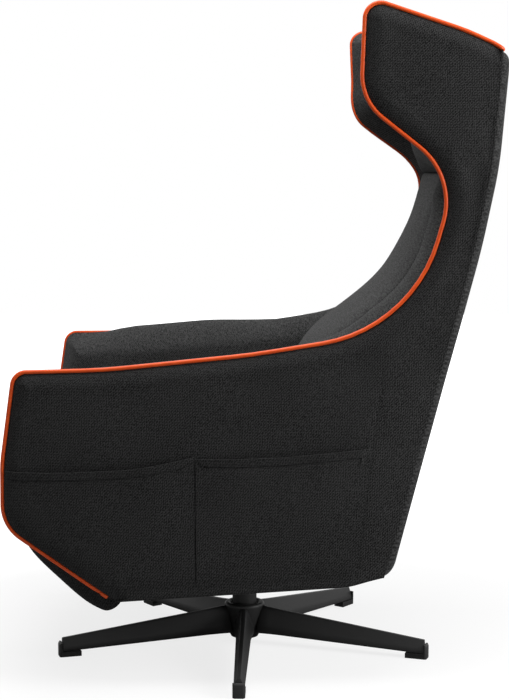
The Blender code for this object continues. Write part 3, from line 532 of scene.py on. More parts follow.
rearLine = [corner[:2] for corner in side["corners"][-5:-1]] + [side["rearFoot"]]
bottomLine = [side["corners"][k][:2] for k in (0, -1, -2)]

# The right side has settled: its arm is lower behind, its wing stands back. Pairs are a start and a run
settling = {"arm": 0.0040, "behind": (0.0, 0.06), "waist": (0.17, 0.08), "height": (0.48, 0.06),
            "wing": [(0.0, 0.825), (0.0062, 0.863), (-0.0010, 0.925), (-0.0044, 0.955), (0.0010, 0.985),
                     (0.0074, 1.030), (0.0, 1.125)],
            "wingSoft": 0.008, "held": 0.03, "heldRun": 0.05}


def rearY(z):
    # the back's bends are eased over a hand's width
    return softened(rearLine, z, side["rearSoft"])


def bottomZ(y):
    return along(bottomLine, y, 0)


def sideX(y, z):
    return side["halfWidth"] - side["splay"] * y + side["lean"] * (z - side["armHeight"])


def cornerArcs(insets):
    count = len(side["corners"])
    lines, arcs = [], []
    for k, (y, z, _, kind) in enumerate(side["corners"]):
        ahead = side["corners"][(k + 1) % count]
        run = (Vector(ahead[:2]) - Vector((y, z))).normalized()
        lines.append((Vector((y, z)) + Vector((run.y, -run.x)) * insets[kind], run))
    for k, (_, _, radius, kind) in enumerate(side["corners"]):
        (start, arrive), (end, leave) = lines[k - 1], lines[k]
        bend = arrive.x * leave.y - arrive.y * leave.x
        corner = start + arrive * (((end - start).x * leave.y - (end - start).y * leave.x) / bend)
        turn = arrive.angle(leave)
        radius = max(radius - insets["rim"], side["sharpest"]) if bend < 0 else radius + insets["rim"]
        middle = corner + (leave - arrive).normalized() * (radius / math.cos(turn / 2))
        first = corner - arrive * radius * math.tan(turn / 2)
        angle = math.atan2(first.y - middle.y, first.x - middle.x)
        steps = max(2, math.ceil(turn / side["arcStep"]))
        before = side["corners"][k - 1][3]
        arc = []
        for step in range(steps + 1):
            at = angle + math.copysign(turn, bend) * step / steps
            spot = middle + Vector((math.cos(at), math.sin(at))) * radius
            arc.append((spot, before if step * 2 <= steps else kind))
        arcs.append(arc)
    return arcs


def sideRing(rim, rear, bottom):
    # each edge is given as (inset, depth); the long straights get points between their ends
    edges = {"rim": rim, "rear": rear, "bottom": bottom}
    arcs = cornerArcs({kind: edge[0] for kind, edge in edges.items()})
    plain = cornerArcs({"rim": 0.0, "rear": 0.0, "bottom": 0.0})
    ring = []
    for k, arc in enumerate(arcs):
        for spot, kind in arc:
            ring.append((-edges[kind][1], spot.x, spot.y))
        (end, _), (start, kind) = arcs[(k + 1) % len(arcs)][0], arc[-1]
        length = (plain[(k + 1) % len(arcs)][0][0] - plain[k][-1][0]).length
        between = math.ceil(length / side["longest"])
        for step in range(1, between):
            spot = start.lerp(end, step / between)
            ring.append((-edges[kind][1], spot.x, spot.y))
    return ring


def lowRear(z):
    return 1 - rise(z, *side["foldEnd"])


def offSeam(y, z):
    return y - along(side["seam"], z)


def drawIn(y, z):
    # behind its seam the lower part of a side folds in towards the back
    past, soft = offSeam(y, z), side["foldSoft"]
    past = past if past > soft else max(past + soft, 0.0) ** 2 / (4 * soft)
    return side["foldSlope"] * past * lowRear(z)


def standUp(piece):
    # from the bench, where x is the height over the outer face, to its place on the chair
    def place(x, y, z):
        share = min(max(1 + x / side["thickness"], 0.0), 1.0)
        return sideX(y, z) + x - drawIn(y, z) * share, y + axisY, z
    return reshaped(piece, place)


def settled(piece):
    def place(x, y, z):
        if x > 0:
            return x, y, z
        behind = y - axisY
        share = rise(behind, *settling["behind"]) * (1 - rise(behind, *settling["waist"]))
        lower = settling["arm"] * share * rise(z, *settling["height"]) * (z < side["armTop"])
        draw = softened(settling["wing"], z, settling["wingSoft"])
        free = ease((rearY(z) - settling["held"] - behind) / settling["heldRun"])
        return x, y + draw * free, z - lower
    return reshaped(piece, place)


# Outer cover of a side: rolls in to the piping, with a seam down its rear third.
# Its rings give inset and depth at the rim, the rear edge and the bottom edge.
outerCover = {
    "rings": [((0.0070, 0.0190), (0.0160, 0.0190), (0.0008, 0.0190)),
              ((0.0066, 0.0140), (0.0152, 0.0030), (0.0005, 0.0046)),
              ((0.0032, 0.0112), (0.0150, 0.0017), (0.0003, 0.0040)),
              ((0.0050, 0.0094), (0.0150, 0.0011), (0.0006, 0.0030)),
              ((0.0080, 0.0072), (0.0153, 0.0007), (0.0014, 0.0020)),
              ((0.0120, 0.0050), (0.0158, 0.0004), (0.0028, 0.0012)),
              ((0.0165, 0.0031), (0.0165, 0.0003), (0.0044, 0.0007)),
              ((0.0215, 0.0016), (0.0175, 0.0002), (0.0062, 0.0004)),
              ((0.0275, 0.0005), (0.0190, 0.0001), (0.0085, 0.0002)),
              ((0.0340, 0.0001), (0.0215, 0.0001), (0.0110, 0.0001))],
    "grid": 0.020, "merge": 0.0004, "puff": 0.0024, "pressure": 1.6, "hemHeld": 0.006,
    "seamCuts": (-0.0060, -0.0020, 0.0, 0.0020, 0.0060), "seamHeld": 0.0010, "seamSoft": 0.0045,
    "seamDepth": 0.0005, "flush": (-0.032, 0.010), "flushDepth": 0.0045}


def cutSeam(piece, test):
    # parallel cuts beside the seam of a side
    for _, z in side["seam"][1:-1]:
        cutPlane(piece, unit(2) * z, unit(2), test)
    for one, two in zip(side["seam"], side["seam"][1:]):
        run = Vector((0, two[0] - one[0], two[1] - one[1])).normalized()
        across = Vector((0, -run.z, run.y))

        def beside(face):
            return test(face) and two[1] < face.calc_center_median().z < one[1]

        for offset in outerCover["seamCuts"]:
            cutPlane(piece, Vector((0, *one)) + across * offset, across, beside)


def buildOuterCover():
    rings = [sideRing(*ring) for ring in outerCover["rings"]]
    piece = stackRings("leftOuterCover", rings)
    top = rings[-1][0][0]
    hem = pockets["hem"]["front"] + pockets["hem"]["rear"]
    sliceGrid(piece, outerCover["grid"], onFlat(top))
    cutSeam(piece, onFlat(top))
    mergeDoubles(outerCover["merge"])
    deselect()

    def sewn(spot):
        # the pockets hold the cover down
        return (spot.x < top - hair or abs(offSeam(spot.y, spot.z)) < outerCover["seamHeld"]
                or spot.z < along(hem, spot.y, 0) + outerCover["hemHeld"])

    stuffed(piece, outerCover["pressure"], outerCover["puff"], sewn)

    def sink(x, y, z):
        # a shallow seam; low down the rear edge lies flush with the back cover
        deep = flush = 0.0
        if x > top - hair:
            deep = outerCover["seamDepth"] * (1 - ease(abs(offSeam(y, z)) / outerCover["seamSoft"]))
        if x > -outerCover["flushDepth"]:
            flush = rise(y - rearY(z), *outerCover["flush"]) * lowRear(z)
        return (x - deep) * (1 - flush), y, z

    reshaped(piece, sink)
    standUp(piece)
    finished(piece)
    other = settled(mirrored(piece, "rightOuterCover"))
    for made, name in ((piece, "left"), (other, "right")):
        dressed(made, charcoal, replaces=[name + "_outer_pad"])
    print("outer covers made")


# Inner cover of a side: starts at the piping, turns over the rim and rolls down to the inner face.
# The rim falls away at the front of arm and wing, is flat on the arm and full at the waist.
# Depths and insets go from the root beside the piping to the inner face, pairs are a start and a run.
innerCover = {
    "depth": [0.0390, 0.0206, 0.0206, 0.0162, 0.0120, 0.0132, 0.0160, 0.0210, 0.0275, 0.0355, 0.0445, 0.0540,
              0.0628, 0.0705, 0.0768, 0.0815, 0.0842, 0.0850],
    "root": [0.0182, 0.0182, 0.0090, 0.0072, 0.0016],
    "flat": [0.0000, -0.0009, -0.0015, -0.0016, -0.0012, 0.0000, 0.0024, 0.0062, 0.0116, 0.0182, 0.0250,
             0.0320, 0.0380],
    "falling": [0.0006, 0.0012, 0.0030, 0.0054, 0.0084, 0.0120, 0.0158, 0.0198, 0.0240, 0.0284, 0.0330,
                0.0376, 0.0430],
    "full": [-0.0008, -0.0036, -0.0068, -0.0098, -0.0124, -0.0146, -0.0162, -0.0172, -0.0176, -0.0177,
             -0.0176, -0.0172, -0.0160],
    "edgeDepth": [0.0390, 0.0206, 0.0206, 0.0210, 0.0216, 0.0226, 0.026, 0.031, 0.036, 0.042, 0.049, 0.056,
                  0.063, 0.070, 0.0755, 0.0805, 0.0838, 0.0850],
    "rear": [0.0250, 0.0250, 0.0172, 0.0170, 0.0169, *[side["rearInset"]] * 9, 0.0169, 0.0172, 0.0180,
             0.0200],
    "bottom": [0.0082, 0.0082, 0.0010, 0.0008, 0.0007, 0.0006, *[0.0004] * 8, 0.0008, 0.0018, 0.0040, 0.0075],
    "grid": 0.026, "merge": 0.0004,
    "ripple": 0.0006, "rippleFrom": (0.012, 0.03), "rippleScale": (20, 14, 14),
    "wingFrom": 0.78, "waistTop": {"left": 0.830, "right": 0.790}, "wingFall": 0.06,
    "armFrom": 0.52, "armFront": (-0.34, 0.10), "waist": (0.09, 0.15),
    "fullness": {"left": 1.0, "right": 0.55},
    "crest": {"left": 0.0, "right": 0.0135}, "crestFront": (-0.34, 0.13), "crestFall": (-0.10, 0.15),
    "crestLoss": 0.7, "crestEnd": (0.16, 0.08), "crestLow": 0.50, "crestRear": 0.25,
    "swellFrom": 0.004, "swellRun": 0.076, "swellTo": 0.08}


def rimShares(name, y, z):
    # how far the rim falls away or is full at a place on the outline
    full = innerCover["fullness"][name]
    if z > innerCover["wingFrom"]:
        falls = rise(z, innerCover["waistTop"][name], innerCover["wingFall"])
        return falls, full * (1 - falls)
    if z > innerCover["armFrom"]:
        return 1 - rise(y, *innerCover["armFront"]), full * rise(y, *innerCover["waist"])
    return 1.0, 0.0


def armCrest(y, z):
    # the stuffing of the far arm stands a little higher in its middle
    if z <= innerCover["crestLow"] or z >= side["armTop"] or y >= innerCover["crestRear"]:
        return 0.0
    lost = innerCover["crestLoss"] * rise(y, *innerCover["crestFall"])
    return rise(y, *innerCover["crestFront"]) * (1 - lost) * (1 - rise(y, *innerCover["crestEnd"]))


def innerRings(name):
    plain = sideRing((0, 0), (side["rearInset"], 0), (0, 0))
    ends = [list(zip(innerCover[end], innerCover["edgeDepth"])) for end in ("rear", "bottom")]
    sections = []
    for kind in ("flat", "falling", "full"):
        rims = zip(innerCover["root"] + innerCover[kind], innerCover["depth"])
        sections.append([sideRing(*edges) for edges in zip(rims, *ends)])
    rings = []
    for depth, *kinds in zip(innerCover["depth"], *sections):
        ring = []
        for (_, y, z), flat, falling, full in zip(plain, *kinds):
            fallShare, fullShare = rimShares(name, y, z)
            spot = Vector(flat).lerp(Vector(falling), fallShare).lerp(Vector(full), fullShare)
            if depth < innerCover["swellTo"]:
                swell = math.sin(math.pi * (-spot.x - innerCover["swellFrom"]) / innerCover["swellRun"])
                spot.z += innerCover["crest"][name] * armCrest(y, z) * max(swell, 0.0)
            ring.append(spot)
        rings.append(ring)
    return rings


def buildInnerCover(name):
    rings = innerRings(name)
    piece = stackRings(name + "InnerCover", rings)
    sliceGrid(piece, innerCover["grid"], onFlat(rings[-1][0][0]))
    mergeDoubles(innerCover["merge"])

    def soften(x, y, z):
        # a little unevenness of the foam, none at the piping
        free = rise(-x, *innerCover["rippleFrom"]) * innerCover["ripple"]
        return x, y, z + free * noise.noise(Vector((x, y, z)) * Vector(innerCover["rippleScale"]))

    reshaped(piece, soften)
    standUp(piece)
    if name == "right":
        settled(turnedOver(piece))
    finished(piece)
    dressed(piece, paintedLightTwill, replaces=[name + "_inner_pad"])
    print(name, "inner cover made")


# Piping: one cord from toe to toe, over both arms and wings and along the top edge of the back
piping = {"radius": 0.0034, "bevel": 4, "sunk": 0.0108, "lift": 0.0033, "corner": 0.016, "cornerReach": 1.2,
          "bendSteps": 7, "toe": 0.012, "toePoints": 12, "endRun": 0.0085, "tuck": (-0.014, 0.004, 0.0015),
          "tuckShares": (1.0, 0.35)}


def buildPiping():
    ring = sideRing((0.0, 0.0), (side["backPad"], 0.0), (0.0, 0.0))
    toe, crown = Vector(side["corners"][0][:2]), Vector(topCorner[:2])
    last = min(range(len(ring)), key=lambda k: (Vector(ring[k][1:]) - crown).length)
    first = min(range(piping["toePoints"]), key=lambda k: (Vector(ring[k][1:]) - toe).length)
    left = [Vector((sideX(y, z) - piping["sunk"], y + axisY, z)) for _, y, z in ring[first:last]]
    crownX = sideX(crown.x, crown.y)
    crownY = rearY(crown.y) - side["backPad"] + piping["lift"] + axisY
    bendAt = Vector((crownX, crownY, crown.y + piping["lift"]))
    bendTo = Vector((crownX - piping["corner"] * piping["cornerReach"], *bendAt.yz))
    while (left[-1] - bendAt).length < piping["corner"]:
        left.pop()
    while (left[0].yz - Vector((toe.x + axisY, toe.y))).length < piping["toe"]:
        left.pop(0)
    left.insert(0, left[0] + (left[0] - left[1]).normalized() * piping["endRun"])
    tuck = [left[0] + Vector(piping["tuck"]) * share for share in piping["tuckShares"]]
    bend = []
    for step in range(1, piping["bendSteps"]):
        t = step / piping["bendSteps"]
        bend.append(left[-1] * (1 - t) ** 2 + bendAt * 2 * t * (1 - t) + bendTo * t * t)
    half = tuck + left + bend + [bendTo]
    path = half + [Vector((-p.x, p.y, p.z)) for p in reversed(half)]
    choose(traceLine("piping", path))
    bpy.ops.object.convert(target="CURVE")
    cord = bpy.context.object.data
    cord.bevel_depth = piping["radius"]
    cord.bevel_resolution = piping["bevel"]
    cord.use_fill_caps = True
    bpy.ops.object.convert(target="MESH")
    piece = finished(settled(named("piping")), smooth=60)
    dressed(piece, orange, replaces=["left_piping", "right_piping", "top_piping"])
    print("piping made")


# Side pockets: a sheet sewn in round three edges, with a folded hem along its mouth
pockets = {
    "hem": {"front": [(-0.3860, 0.3803), (-0.328, 0.3790), (-0.271, 0.3792), (-0.1885, 0.3820),
                      (-0.147, 0.3874), (-0.106, 0.3952), (-0.0745, 0.4015)],
            "rear": [(-0.0725, 0.3985), (0.0014, 0.3985), (0.068, 0.4005), (0.129, 0.4053), (0.176, 0.4093),
                     (0.2195, 0.413)]},
    "seat": (0.0046, 0.0040), "insets": (0.0022, 0.0118, 0.0132, 0.0150), "band": 0.0132, "grid": 0.014,
    "step": 0.008, "merge": 0.0006, "sheet": 0.0016, "lift": 0.0008, "edgeSteps": 16, "mouthSteps": 7,
    "rearFoot": 0.1795, "seamGap": 0.0012, "cornerGap": 0.004, "footGap": 0.002, "hemGap": 0.006,
    "bulge": {"front": 0.0065, "rear": 0.0050}, "bulgeRun": 0.085, "bulgeDrop": 0.23, "bulgePower": 1.4,
    "hemRise": 0.0014, "mouth": 0.0012, "hemRun": 0.012, "stitch": 0.0009, "stitchSink": 0.0009}
rollIn = [(depth, inset) for (inset, depth), _, _ in outerCover["rings"][2:]]


def nearest(points, y, z):
    # the way to the nearest place on a line of points
    spot, ways = Vector((y, z)), []
    for one, two in zip(points, points[1:]):
        run = two - one
        share = min(max((spot - one).dot(run) / max(run.length_squared, hair * hair), 0.0), 1.0)
        ways.append((spot - one - run * share).length)
    return min(ways)


def evenLoop(points, step, sharp=0.5):
    # drops crowded points and keeps the corners
    kept = [points[0]]
    for here, ahead in zip(points[1:], points[2:] + points[:1]):
        moved = here - kept[-1]
        if moved.length > step or (moved.angle(ahead - here, 0.0) > sharp and moved.length > step / 2):
            kept.append(here)
    return kept


def movedIn(points, inset, least=0.6):
    moved = []
    for before, here, ahead in zip(points[-1:] + points[:-1], points, points[1:] + points[:1]):
        arrive, leave = (here - before).normalized(), (ahead - here).normalized()
        inward = Vector((arrive.y, -arrive.x)) + Vector((leave.y, -leave.x))
        inward.normalize()
        reach = inset / max(inward.dot(Vector((leave.y, -leave.x))), least)
        moved.append(here + inward * reach)
    return moved


def flatRing(rim, bottom):
    return [Vector(point[1:]) for point in sideRing((rim, 0), (side["rearInset"], 0), (bottom, 0))]


def pocketOutline(which, hem):
    # the sewn edges, from the rear end of the hem round to its front end
    rimIn, bottomIn = pockets["seat"]
    ring = flatRing(rimIn, bottomIn)
    middle = len(ring) // 2
    low, high = hem[0].x, hem[-1].x
    shares = [k / pockets["edgeSteps"] for k in range(pockets["edgeSteps"] + 1)]
    if which == "front":
        foot = Vector((high, bottomZ(high) + bottomIn))
        rearEdge = [hem[-1].lerp(foot, share) for share in shares[1:]]
        frontEdge = []
        low = -1.0                                   # bounded by the rim itself
    else:
        heights = [mix(hem[-1].y, pockets["rearFoot"], share) for share in shares[1:]]
        rearEdge = [Vector((along(side["seam"], z) - pockets["seamGap"], z)) for z in heights]
        foot = Vector((low, bottomZ(low) + bottomIn))
        frontEdge = [foot.lerp(hem[0], share) for share in shares[:-1]]
        high = rearEdge[-1].x - pockets["cornerGap"]
        low += pockets["cornerGap"]
    rim = []
    for spot in ring[middle:] + ring[:middle]:
        below = spot.y < along(hem, spot.x, 0) - pockets["hemGap"]
        if below and low <= spot.x < high - pockets["footGap"]:
            rim.append(spot)
    return [hem[-1]] + rearEdge + rim + frontEdge + [hem[0]]


def buildPocket(which):
    hem = [Vector(point) for point in pockets["hem"][which]]
    sewnLine = pocketOutline(which, hem)
    mouth = []
    for one, two in zip(hem, hem[1:]):
        mouth += [one.lerp(two, k / pockets["mouthSteps"]) for k in range(pockets["mouthSteps"])]
    outline = evenLoop(mouth + sewnLine[:-1], pockets["step"])
    rings = [[(0.0, *spot) for spot in ring]
             for ring in [outline] + [movedIn(outline, inset) for inset in pockets["insets"]]]
    piece = closedLoop("left" + which.capitalize() + "Pocket", rings[0])
    drawThrough(piece, rings)
    bpy.ops.mesh.edge_face_add()
    bpy.ops.mesh.select_mode(type="FACE")
    bpy.ops.mesh.hide(unselected=True)
    sliceGrid(piece, pockets["grid"])
    bpy.ops.mesh.reveal()
    mergeDoubles(pockets["merge"])
    facesOut()
    if bmesh.from_edit_mesh(piece.data).faces[:][0].normal.x < 0:
        bpy.ops.mesh.flip_normals()
    rim = flatRing(0, 0)
    band, half = pockets["band"], pockets["stitch"]

    def stuff(_, y, z):
        drop = along(hem, y, 0) - z
        off = nearest(sewnLine, y, z)
        deep = along(rollIn, nearest(rim, y, z))
        full = pockets["bulge"][which] * ease(off / pockets["bulgeRun"])
        full *= max(1 - drop / pockets["bulgeDrop"], 0.0) ** pockets["bulgePower"]
        free = ease(off / pockets["hemRun"])
        fold = 0.0
        if drop < band - half:
            fold = (pockets["hemRise"] + pockets["mouth"] * (1 - drop / band)) * free
        elif abs(drop - band) < half:
            fold = -pockets["stitchSink"] * free
        return full + fold - deep + pockets["lift"], y, z

    reshaped(piece, stuff)
    applied(piece, "SOLIDIFY", thickness=pockets["sheet"], offset=1.0)
    standUp(piece)
    finished(piece, smooth=50)
    other = mirrored(piece, "right" + which.capitalize() + "Pocket")
    width, height = [max(spot[k] for spot in rings[0]) - min(spot[k] for spot in rings[0]) for k in (1, 2)]
    ahead = rings[0][1:] + rings[0][:1]
    area = abs(sum(one[1] * two[2] - two[1] * one[2] for one, two in zip(rings[0], ahead))) / 2
    for made, name in ((piece, "left"), (other, "right")):
        dressed(made, charcoal, replaces=[name + "_" + which + "_pocket"])
        name + "OuterCover"
    print(which, "pockets made, flat", round(width, 3), "by", round(height, 3), "area", round(area, 4))


# Back cover: the rear panel, wrapped round both rear corners to the seams of the sides
backCover = {"drop": 0.0138, "corner": 0.030, "lowCorner": 0.026, "turn": 50, "topRound": 0.022,
             "bottomRound": 0.024, "crown": 0.004, "edge": 0.0020, "overlap": 0.0002,
             "arc": 8, "columns": 20, "rows": 52}


def rolledEdges(low, high, lowRound, highRound, count, turn=90):
    # places from one end to the other, each with the drop of the rolled edge
    turn = math.radians(turn)
    steps = [turn * k / backCover["arc"] for k in range(backCover["arc"] + 1)]
    roll = [(math.sin(at) / math.sin(turn), backCover["drop"] * (1 - math.cos(at)) / (1 - math.cos(turn)))
            for at in steps]
    flat = (high - highRound) - (low + lowRound)
    places = [(low + lowRound * (1 - out), deep) for out, deep in reversed(roll)]
    places += [(low + lowRound + flat * k / count, 0.0) for k in range(1, count)]
    return places + [(high - highRound * (1 - out), deep) for out, deep in roll]


def buildBackCover():
    pad = side["backPad"]
    bottom, top = bottomZ(side["corners"][-2][0] - pad), topCorner[1]
    rows = rolledEdges(bottom, top, backCover["bottomRound"], backCover["topRound"], backCover["rows"])
    rear, front = [], []
    for z, ends in rows:
        face = rearY(z)
        half = sideX(face - pad, z) - drawIn(face - pad, z)
        roll = mix(backCover["corner"], backCover["lowCorner"], lowRear(z))
        for x, corner in rolledEdges(-half, half, roll, roll, backCover["columns"], backCover["turn"]):
            drop = min(ends + corner, pad - backCover["edge"])
            crown = backCover["crown"] * (1 - (x / half) ** 2) * (1 - drop / pad)
            rear.append((x, face - drop + crown + axisY, z))
            front.append((x, face - pad + backCover["overlap"] + axisY, z))
    deselect()
    bpy.ops.mesh.primitive_grid_add(x_subdivisions=len(rear) // len(rows) - 1, y_subdivisions=len(rows) - 1)
    piece = laidOut("backCover", rear)
    pushCap(piece, rear, front)
    facesOut()
    finished(piece, smooth=60)
    dressed(piece, charcoal, replaces=["back_outer_pad"])
    print("back cover made")


# Cushions: a rounded block, laid into its room and stuffed. Places in a block run from -1 to 1

def cushionBlock(name, half, roundEdge, spacing, place):
    deselect()
    bpy.ops.mesh.primitive_cube_add(size=2)
    piece = named(name)
    bpy.ops.object.mode_set(mode="EDIT")
    bpy.ops.mesh.select_mode(type="EDGE")
    selectAll()
    bpy.ops.transform.resize(value=half)
    bpy.ops.mesh.bevel(offset=roundEdge, segments=4, affect="EDGES")
    for axis in range(3):
        flat = half[axis] - roundEdge
        count = max(1, math.ceil(2 * flat / spacing))
        for k in range(1, count):
            cutPlane(piece, unit(axis) * (2 * flat * k / count - flat), unit(axis))
    return reshaped(piece, lambda x, y, z: place(x / half[0], y / half[1], z / half[2]))


# The room for them between the sides, and before the rear panel and its rails
room = {"half": side["halfWidth"] - side["thickness"], "clearance": 0.0020, "panel": 0.0163, "rail": 0.0256,
        "gap": 0.0005, "held": 0.004}


def roomHalf(y, z):
    return sideX(y, z) - side["thickness"] - room["clearance"]


def roomRear(z):
    return rearY(z) - room["panel"] - room["rail"] - room["gap"]


seat = {"front": -0.402, "rear": 0.248, "base": 0.2962, "thickness": 0.140, "bulge": 0.0060, "crown": 0.010,
        "draw": 0.006, "round": 0.030, "grid": 0.022, "pressure": 3.0, "swell": 0.005, "held": 0.020,
        "fill": 0.7}


def seatPlace(a, b, c):
    up = (c + 1) / 2
    z = seat["base"] + seat["thickness"] * up + seat["crown"] * up * (1 - a * a) * (1 - b * b)
    y = mix(seat["front"], seat["rear"], (b + 1) / 2) - seat["bulge"] * (1 - c * c) * max(-b, 0.0)
    return a * (roomHalf(y, z) - seat["draw"] * (1 - b * b)), y + axisY, z


backCushion = {"bottom": 0.4525, "top": 0.8655, "depth": 0.136, "crown": 0.014, "reach": 0.012,
               "slack": 0.0105, "soft": 0.010, "round": 0.012, "grid": 0.020, "pressure": 2.6, "swell": 0.004,
               "fill": 0.6,
               "line": [(0.060, 0.450), (0.073, 0.515), (0.106, 0.572), (0.183, 0.629), (0.2365, 0.675),
                        (0.266, 0.720), (0.299, 0.784), (0.320, 0.862)]}


def backPlace(a, b, c):
    z = mix(backCushion["bottom"], backCushion["top"], (b + 1) / 2)
    line = softened(backCushion["line"], z, backCushion["soft"])
    y = mix(roomRear(z), line + backCushion["crown"] * a * a + backCushion["slack"], (c + 1) / 2)
    return a * (roomHalf(y, z) + backCushion["reach"]), y + axisY, z


headrest = {"bottom": 0.8665, "top": 1.057, "front": 0.299, "depth": 0.0624, "crown": 0.034, "reach": 0.006,
            "round": 0.016, "grid": 0.016, "pressure": 2.6, "swell": 0.004, "fill": 0.6}


def headrestPlace(a, b, c):
    z = mix(headrest["bottom"], headrest["top"], (b + 1) / 2)
    front = headrest["front"] + headrest["crown"] * (a * a + b * b * (1 - a * a))
    y = mix(roomRear(z), front, (c + 1) / 2)
    return a * (roomHalf(y, z) + headrest["reach"]), y + axisY, z


topPad = {"low": 1.0535, "high": 1.0665, "front": 0.3900, "rear": 0.4225, "crown": 0.002, "reach": 0.030,
          "round": 0.0055, "grid": 0.02, "fill": 0.8}


def topPadPlace(a, b, c):
    y = mix(topPad["front"], topPad["rear"], (b + 1) / 2)
    z = mix(topPad["low"], topPad["high"], (c + 1) / 2) + topPad["crown"] * max(c, 0.0) * (1 - b * b)
    return a * (roomHalf(y, z) + topPad["reach"]), y + axisY, z


footrest = {"angle": math.radians(43), "head": 0.024, "length": 0.206, "halfWidth": 0.2225, "face": 0.0205,
            "belly": 0.0192, "bellyHead": 0.010, "rear": 0.019, "round": 0.0182, "crown": 0.002,
            "grid": 0.016, "pressure": 2.0, "swell": 0.0022, "held": 0.024, "fill": 0.7}


def footrestPlace(a, b, c):
    far = mix(-footrest["head"], footrest["length"], (b + 1) / 2)
    share = max((far + footrest["bellyHead"]) / (footrest["length"] + footrest["bellyHead"]), 0.0)
    face = footrest["face"] + footrest["belly"] * (1 - (2 * share - 1) ** 4)
    out = mix(-footrest["rear"], face, (c + 1) / 2)
    out += footrest["crown"] * max(c, 0.0) * (1 - a * a) * (1 - b * b)
    run, fall = math.cos(footrest["angle"]), math.sin(footrest["angle"])
    return (a * footrest["halfWidth"], footrestRod[1] + far * run - out * fall,
            footrestRod[2] - far * fall - out * run)


def buildCushions():
    footRear = footrestPlace(0, 0, -1)
    footDown = Vector((0, -math.sin(footrest["angle"]), -math.cos(footrest["angle"])))

    def seatSewn(spot):
        return spot.z < seat["base"] + seat["held"]

    def backSewn(spot):
        return spot.y - axisY > roomRear(spot.z) - room["held"]

    def footSewn(spot):
        return (spot - Vector((spot.x, *footRear[1:]))).dot(footDown) < footrest["held"]

    for name, node, sizes, length, depth, place, sewn in (
            ("seatCushion", "seat_cushion", seat, seat["rear"] - seat["front"], seat["thickness"],
             seatPlace, seatSewn),
            ("backCushion", "back_cushion", backCushion, backCushion["top"] - backCushion["bottom"],
             backCushion["depth"], backPlace, backSewn),
            ("headrestCushion", "headrest_cushion", headrest, headrest["top"] - headrest["bottom"],
             headrest["depth"], headrestPlace, backSewn),
            ("topPad", "top_pad", topPad, topPad["rear"] - topPad["front"], topPad["high"] - topPad["low"],
             topPadPlace, None),
            ("footrestPad", "footrest_pad", footrest, footrest["head"] + footrest["length"],
             footrest["face"] + footrest["rear"], footrestPlace, footSewn)):
        half = (sizes.get("halfWidth", room["half"]), length / 2, depth / 2)
        piece = cushionBlock(name, half, sizes["round"], sizes["grid"], place)
        if sewn:
            stuffed(piece, sizes["pressure"], sizes["swell"], sewn)
        finished(applied(piece, "SUBSURF", levels=1, render_levels=1), smooth=70)
        if sizes is footrest:
            dressed(piece, charcoal, replaces=[node], body="footrest")
        else:
            dressed(piece, paintedLightTwill, replaces=[node])
    print("cushions made")


# Dust cover under the seat, with a round way for the spindle
dustCover = {"front": -0.165, "rear": 0.225, "hole": 0.0325, "rise": 0.010, "sag": 0.0030, "wave": 16,
             "waveShare": 0.5, "sheet": 0.0012, "spokes": 64, "closest": 0.02, "rings": 9}


def buildDustCover():
    far = 9.0                                        # beyond any edge or angle

    def halfAt(y):
        return roomHalf(y, bottomZ(y))

    spokes = [2 * math.pi * k / dustCover["spokes"] - math.pi for k in range(dustCover["spokes"])]
    spokes += [math.atan2(dustCover[end], sign * halfAt(dustCover[end])) for end in ("front", "rear")
               for sign in (-1, 1)]
    spokes.sort()
    angles = [one for one, two in zip(spokes, spokes[1:] + [far]) if two - one > dustCover["closest"]]

    def edge(angle):
        run = Vector((math.cos(angle), math.sin(angle)))
        wall = dustCover["rear"] if run.y > 0 else dustCover["front"]
        reach = wall / run.y if abs(run.y) > hair else far
        for _ in range(6):                           # the sides splay, so the edge is closed in on
            reach = min(reach, halfAt(run.y * reach) / max(abs(run.x), hair))
        return reach

    def ring(share):
        spots = []
        for angle in angles:
            reach = mix(dustCover["hole"], edge(angle), share)
            x, y = reach * math.cos(angle), reach * math.sin(angle)
            uneven = dustCover["waveShare"] * noise.noise((x * dustCover["wave"], y * dustCover["wave"], 0))
            sag = dustCover["sag"] * math.sin(math.pi * share) * (1 + uneven)
            spots.append((x, y + axisY, bottomZ(y) + dustCover["rise"] - sag))
        return spots

    rings = [ring(k / dustCover["rings"]) for k in range(dustCover["rings"] + 1)]
    piece = closedLoop("dustCover", rings[0])
    drawThrough(piece, rings)
    facesOut()
    applied(piece, "SOLIDIFY", thickness=dustCover["sheet"], offset=0.0)
    finished(piece, smooth=60)
    dressed(piece, dustCloth, replaces=["dust_cover"])
    wide, long = 2 * halfAt(dustCover["front"]), dustCover["rear"] - dustCover["front"]
    round((halfAt(dustCover["front"]) + halfAt(dustCover["rear"])) * long, 4)
    print("dust cover made, flat", round(wide, 3), "by", round(long, 3))


# Five-star base: turned hub and column, legs with a ridge, caps on their tips

def bevelled(piece, width, segments, sharp, **more):
    return applied(piece, "BEVEL", width=width, segments=segments, limit_method="ANGLE",
                   angle_limit=math.radians(sharp), **more)


def spun(name, profile, steps, bevel):
    piece = traceLine(name, [(radius, 0.0, z) for radius, z in profile])
    selectAll()
    bpy.ops.mesh.spin(steps=steps, angle=2 * math.pi, center=(0, 0, 0), axis=(0, 0, 1))
    mergeDoubles(base["merge"])
    facesOut()
    return finished(bevelled(piece, bevel, segments=3, sharp=35), smooth=35)


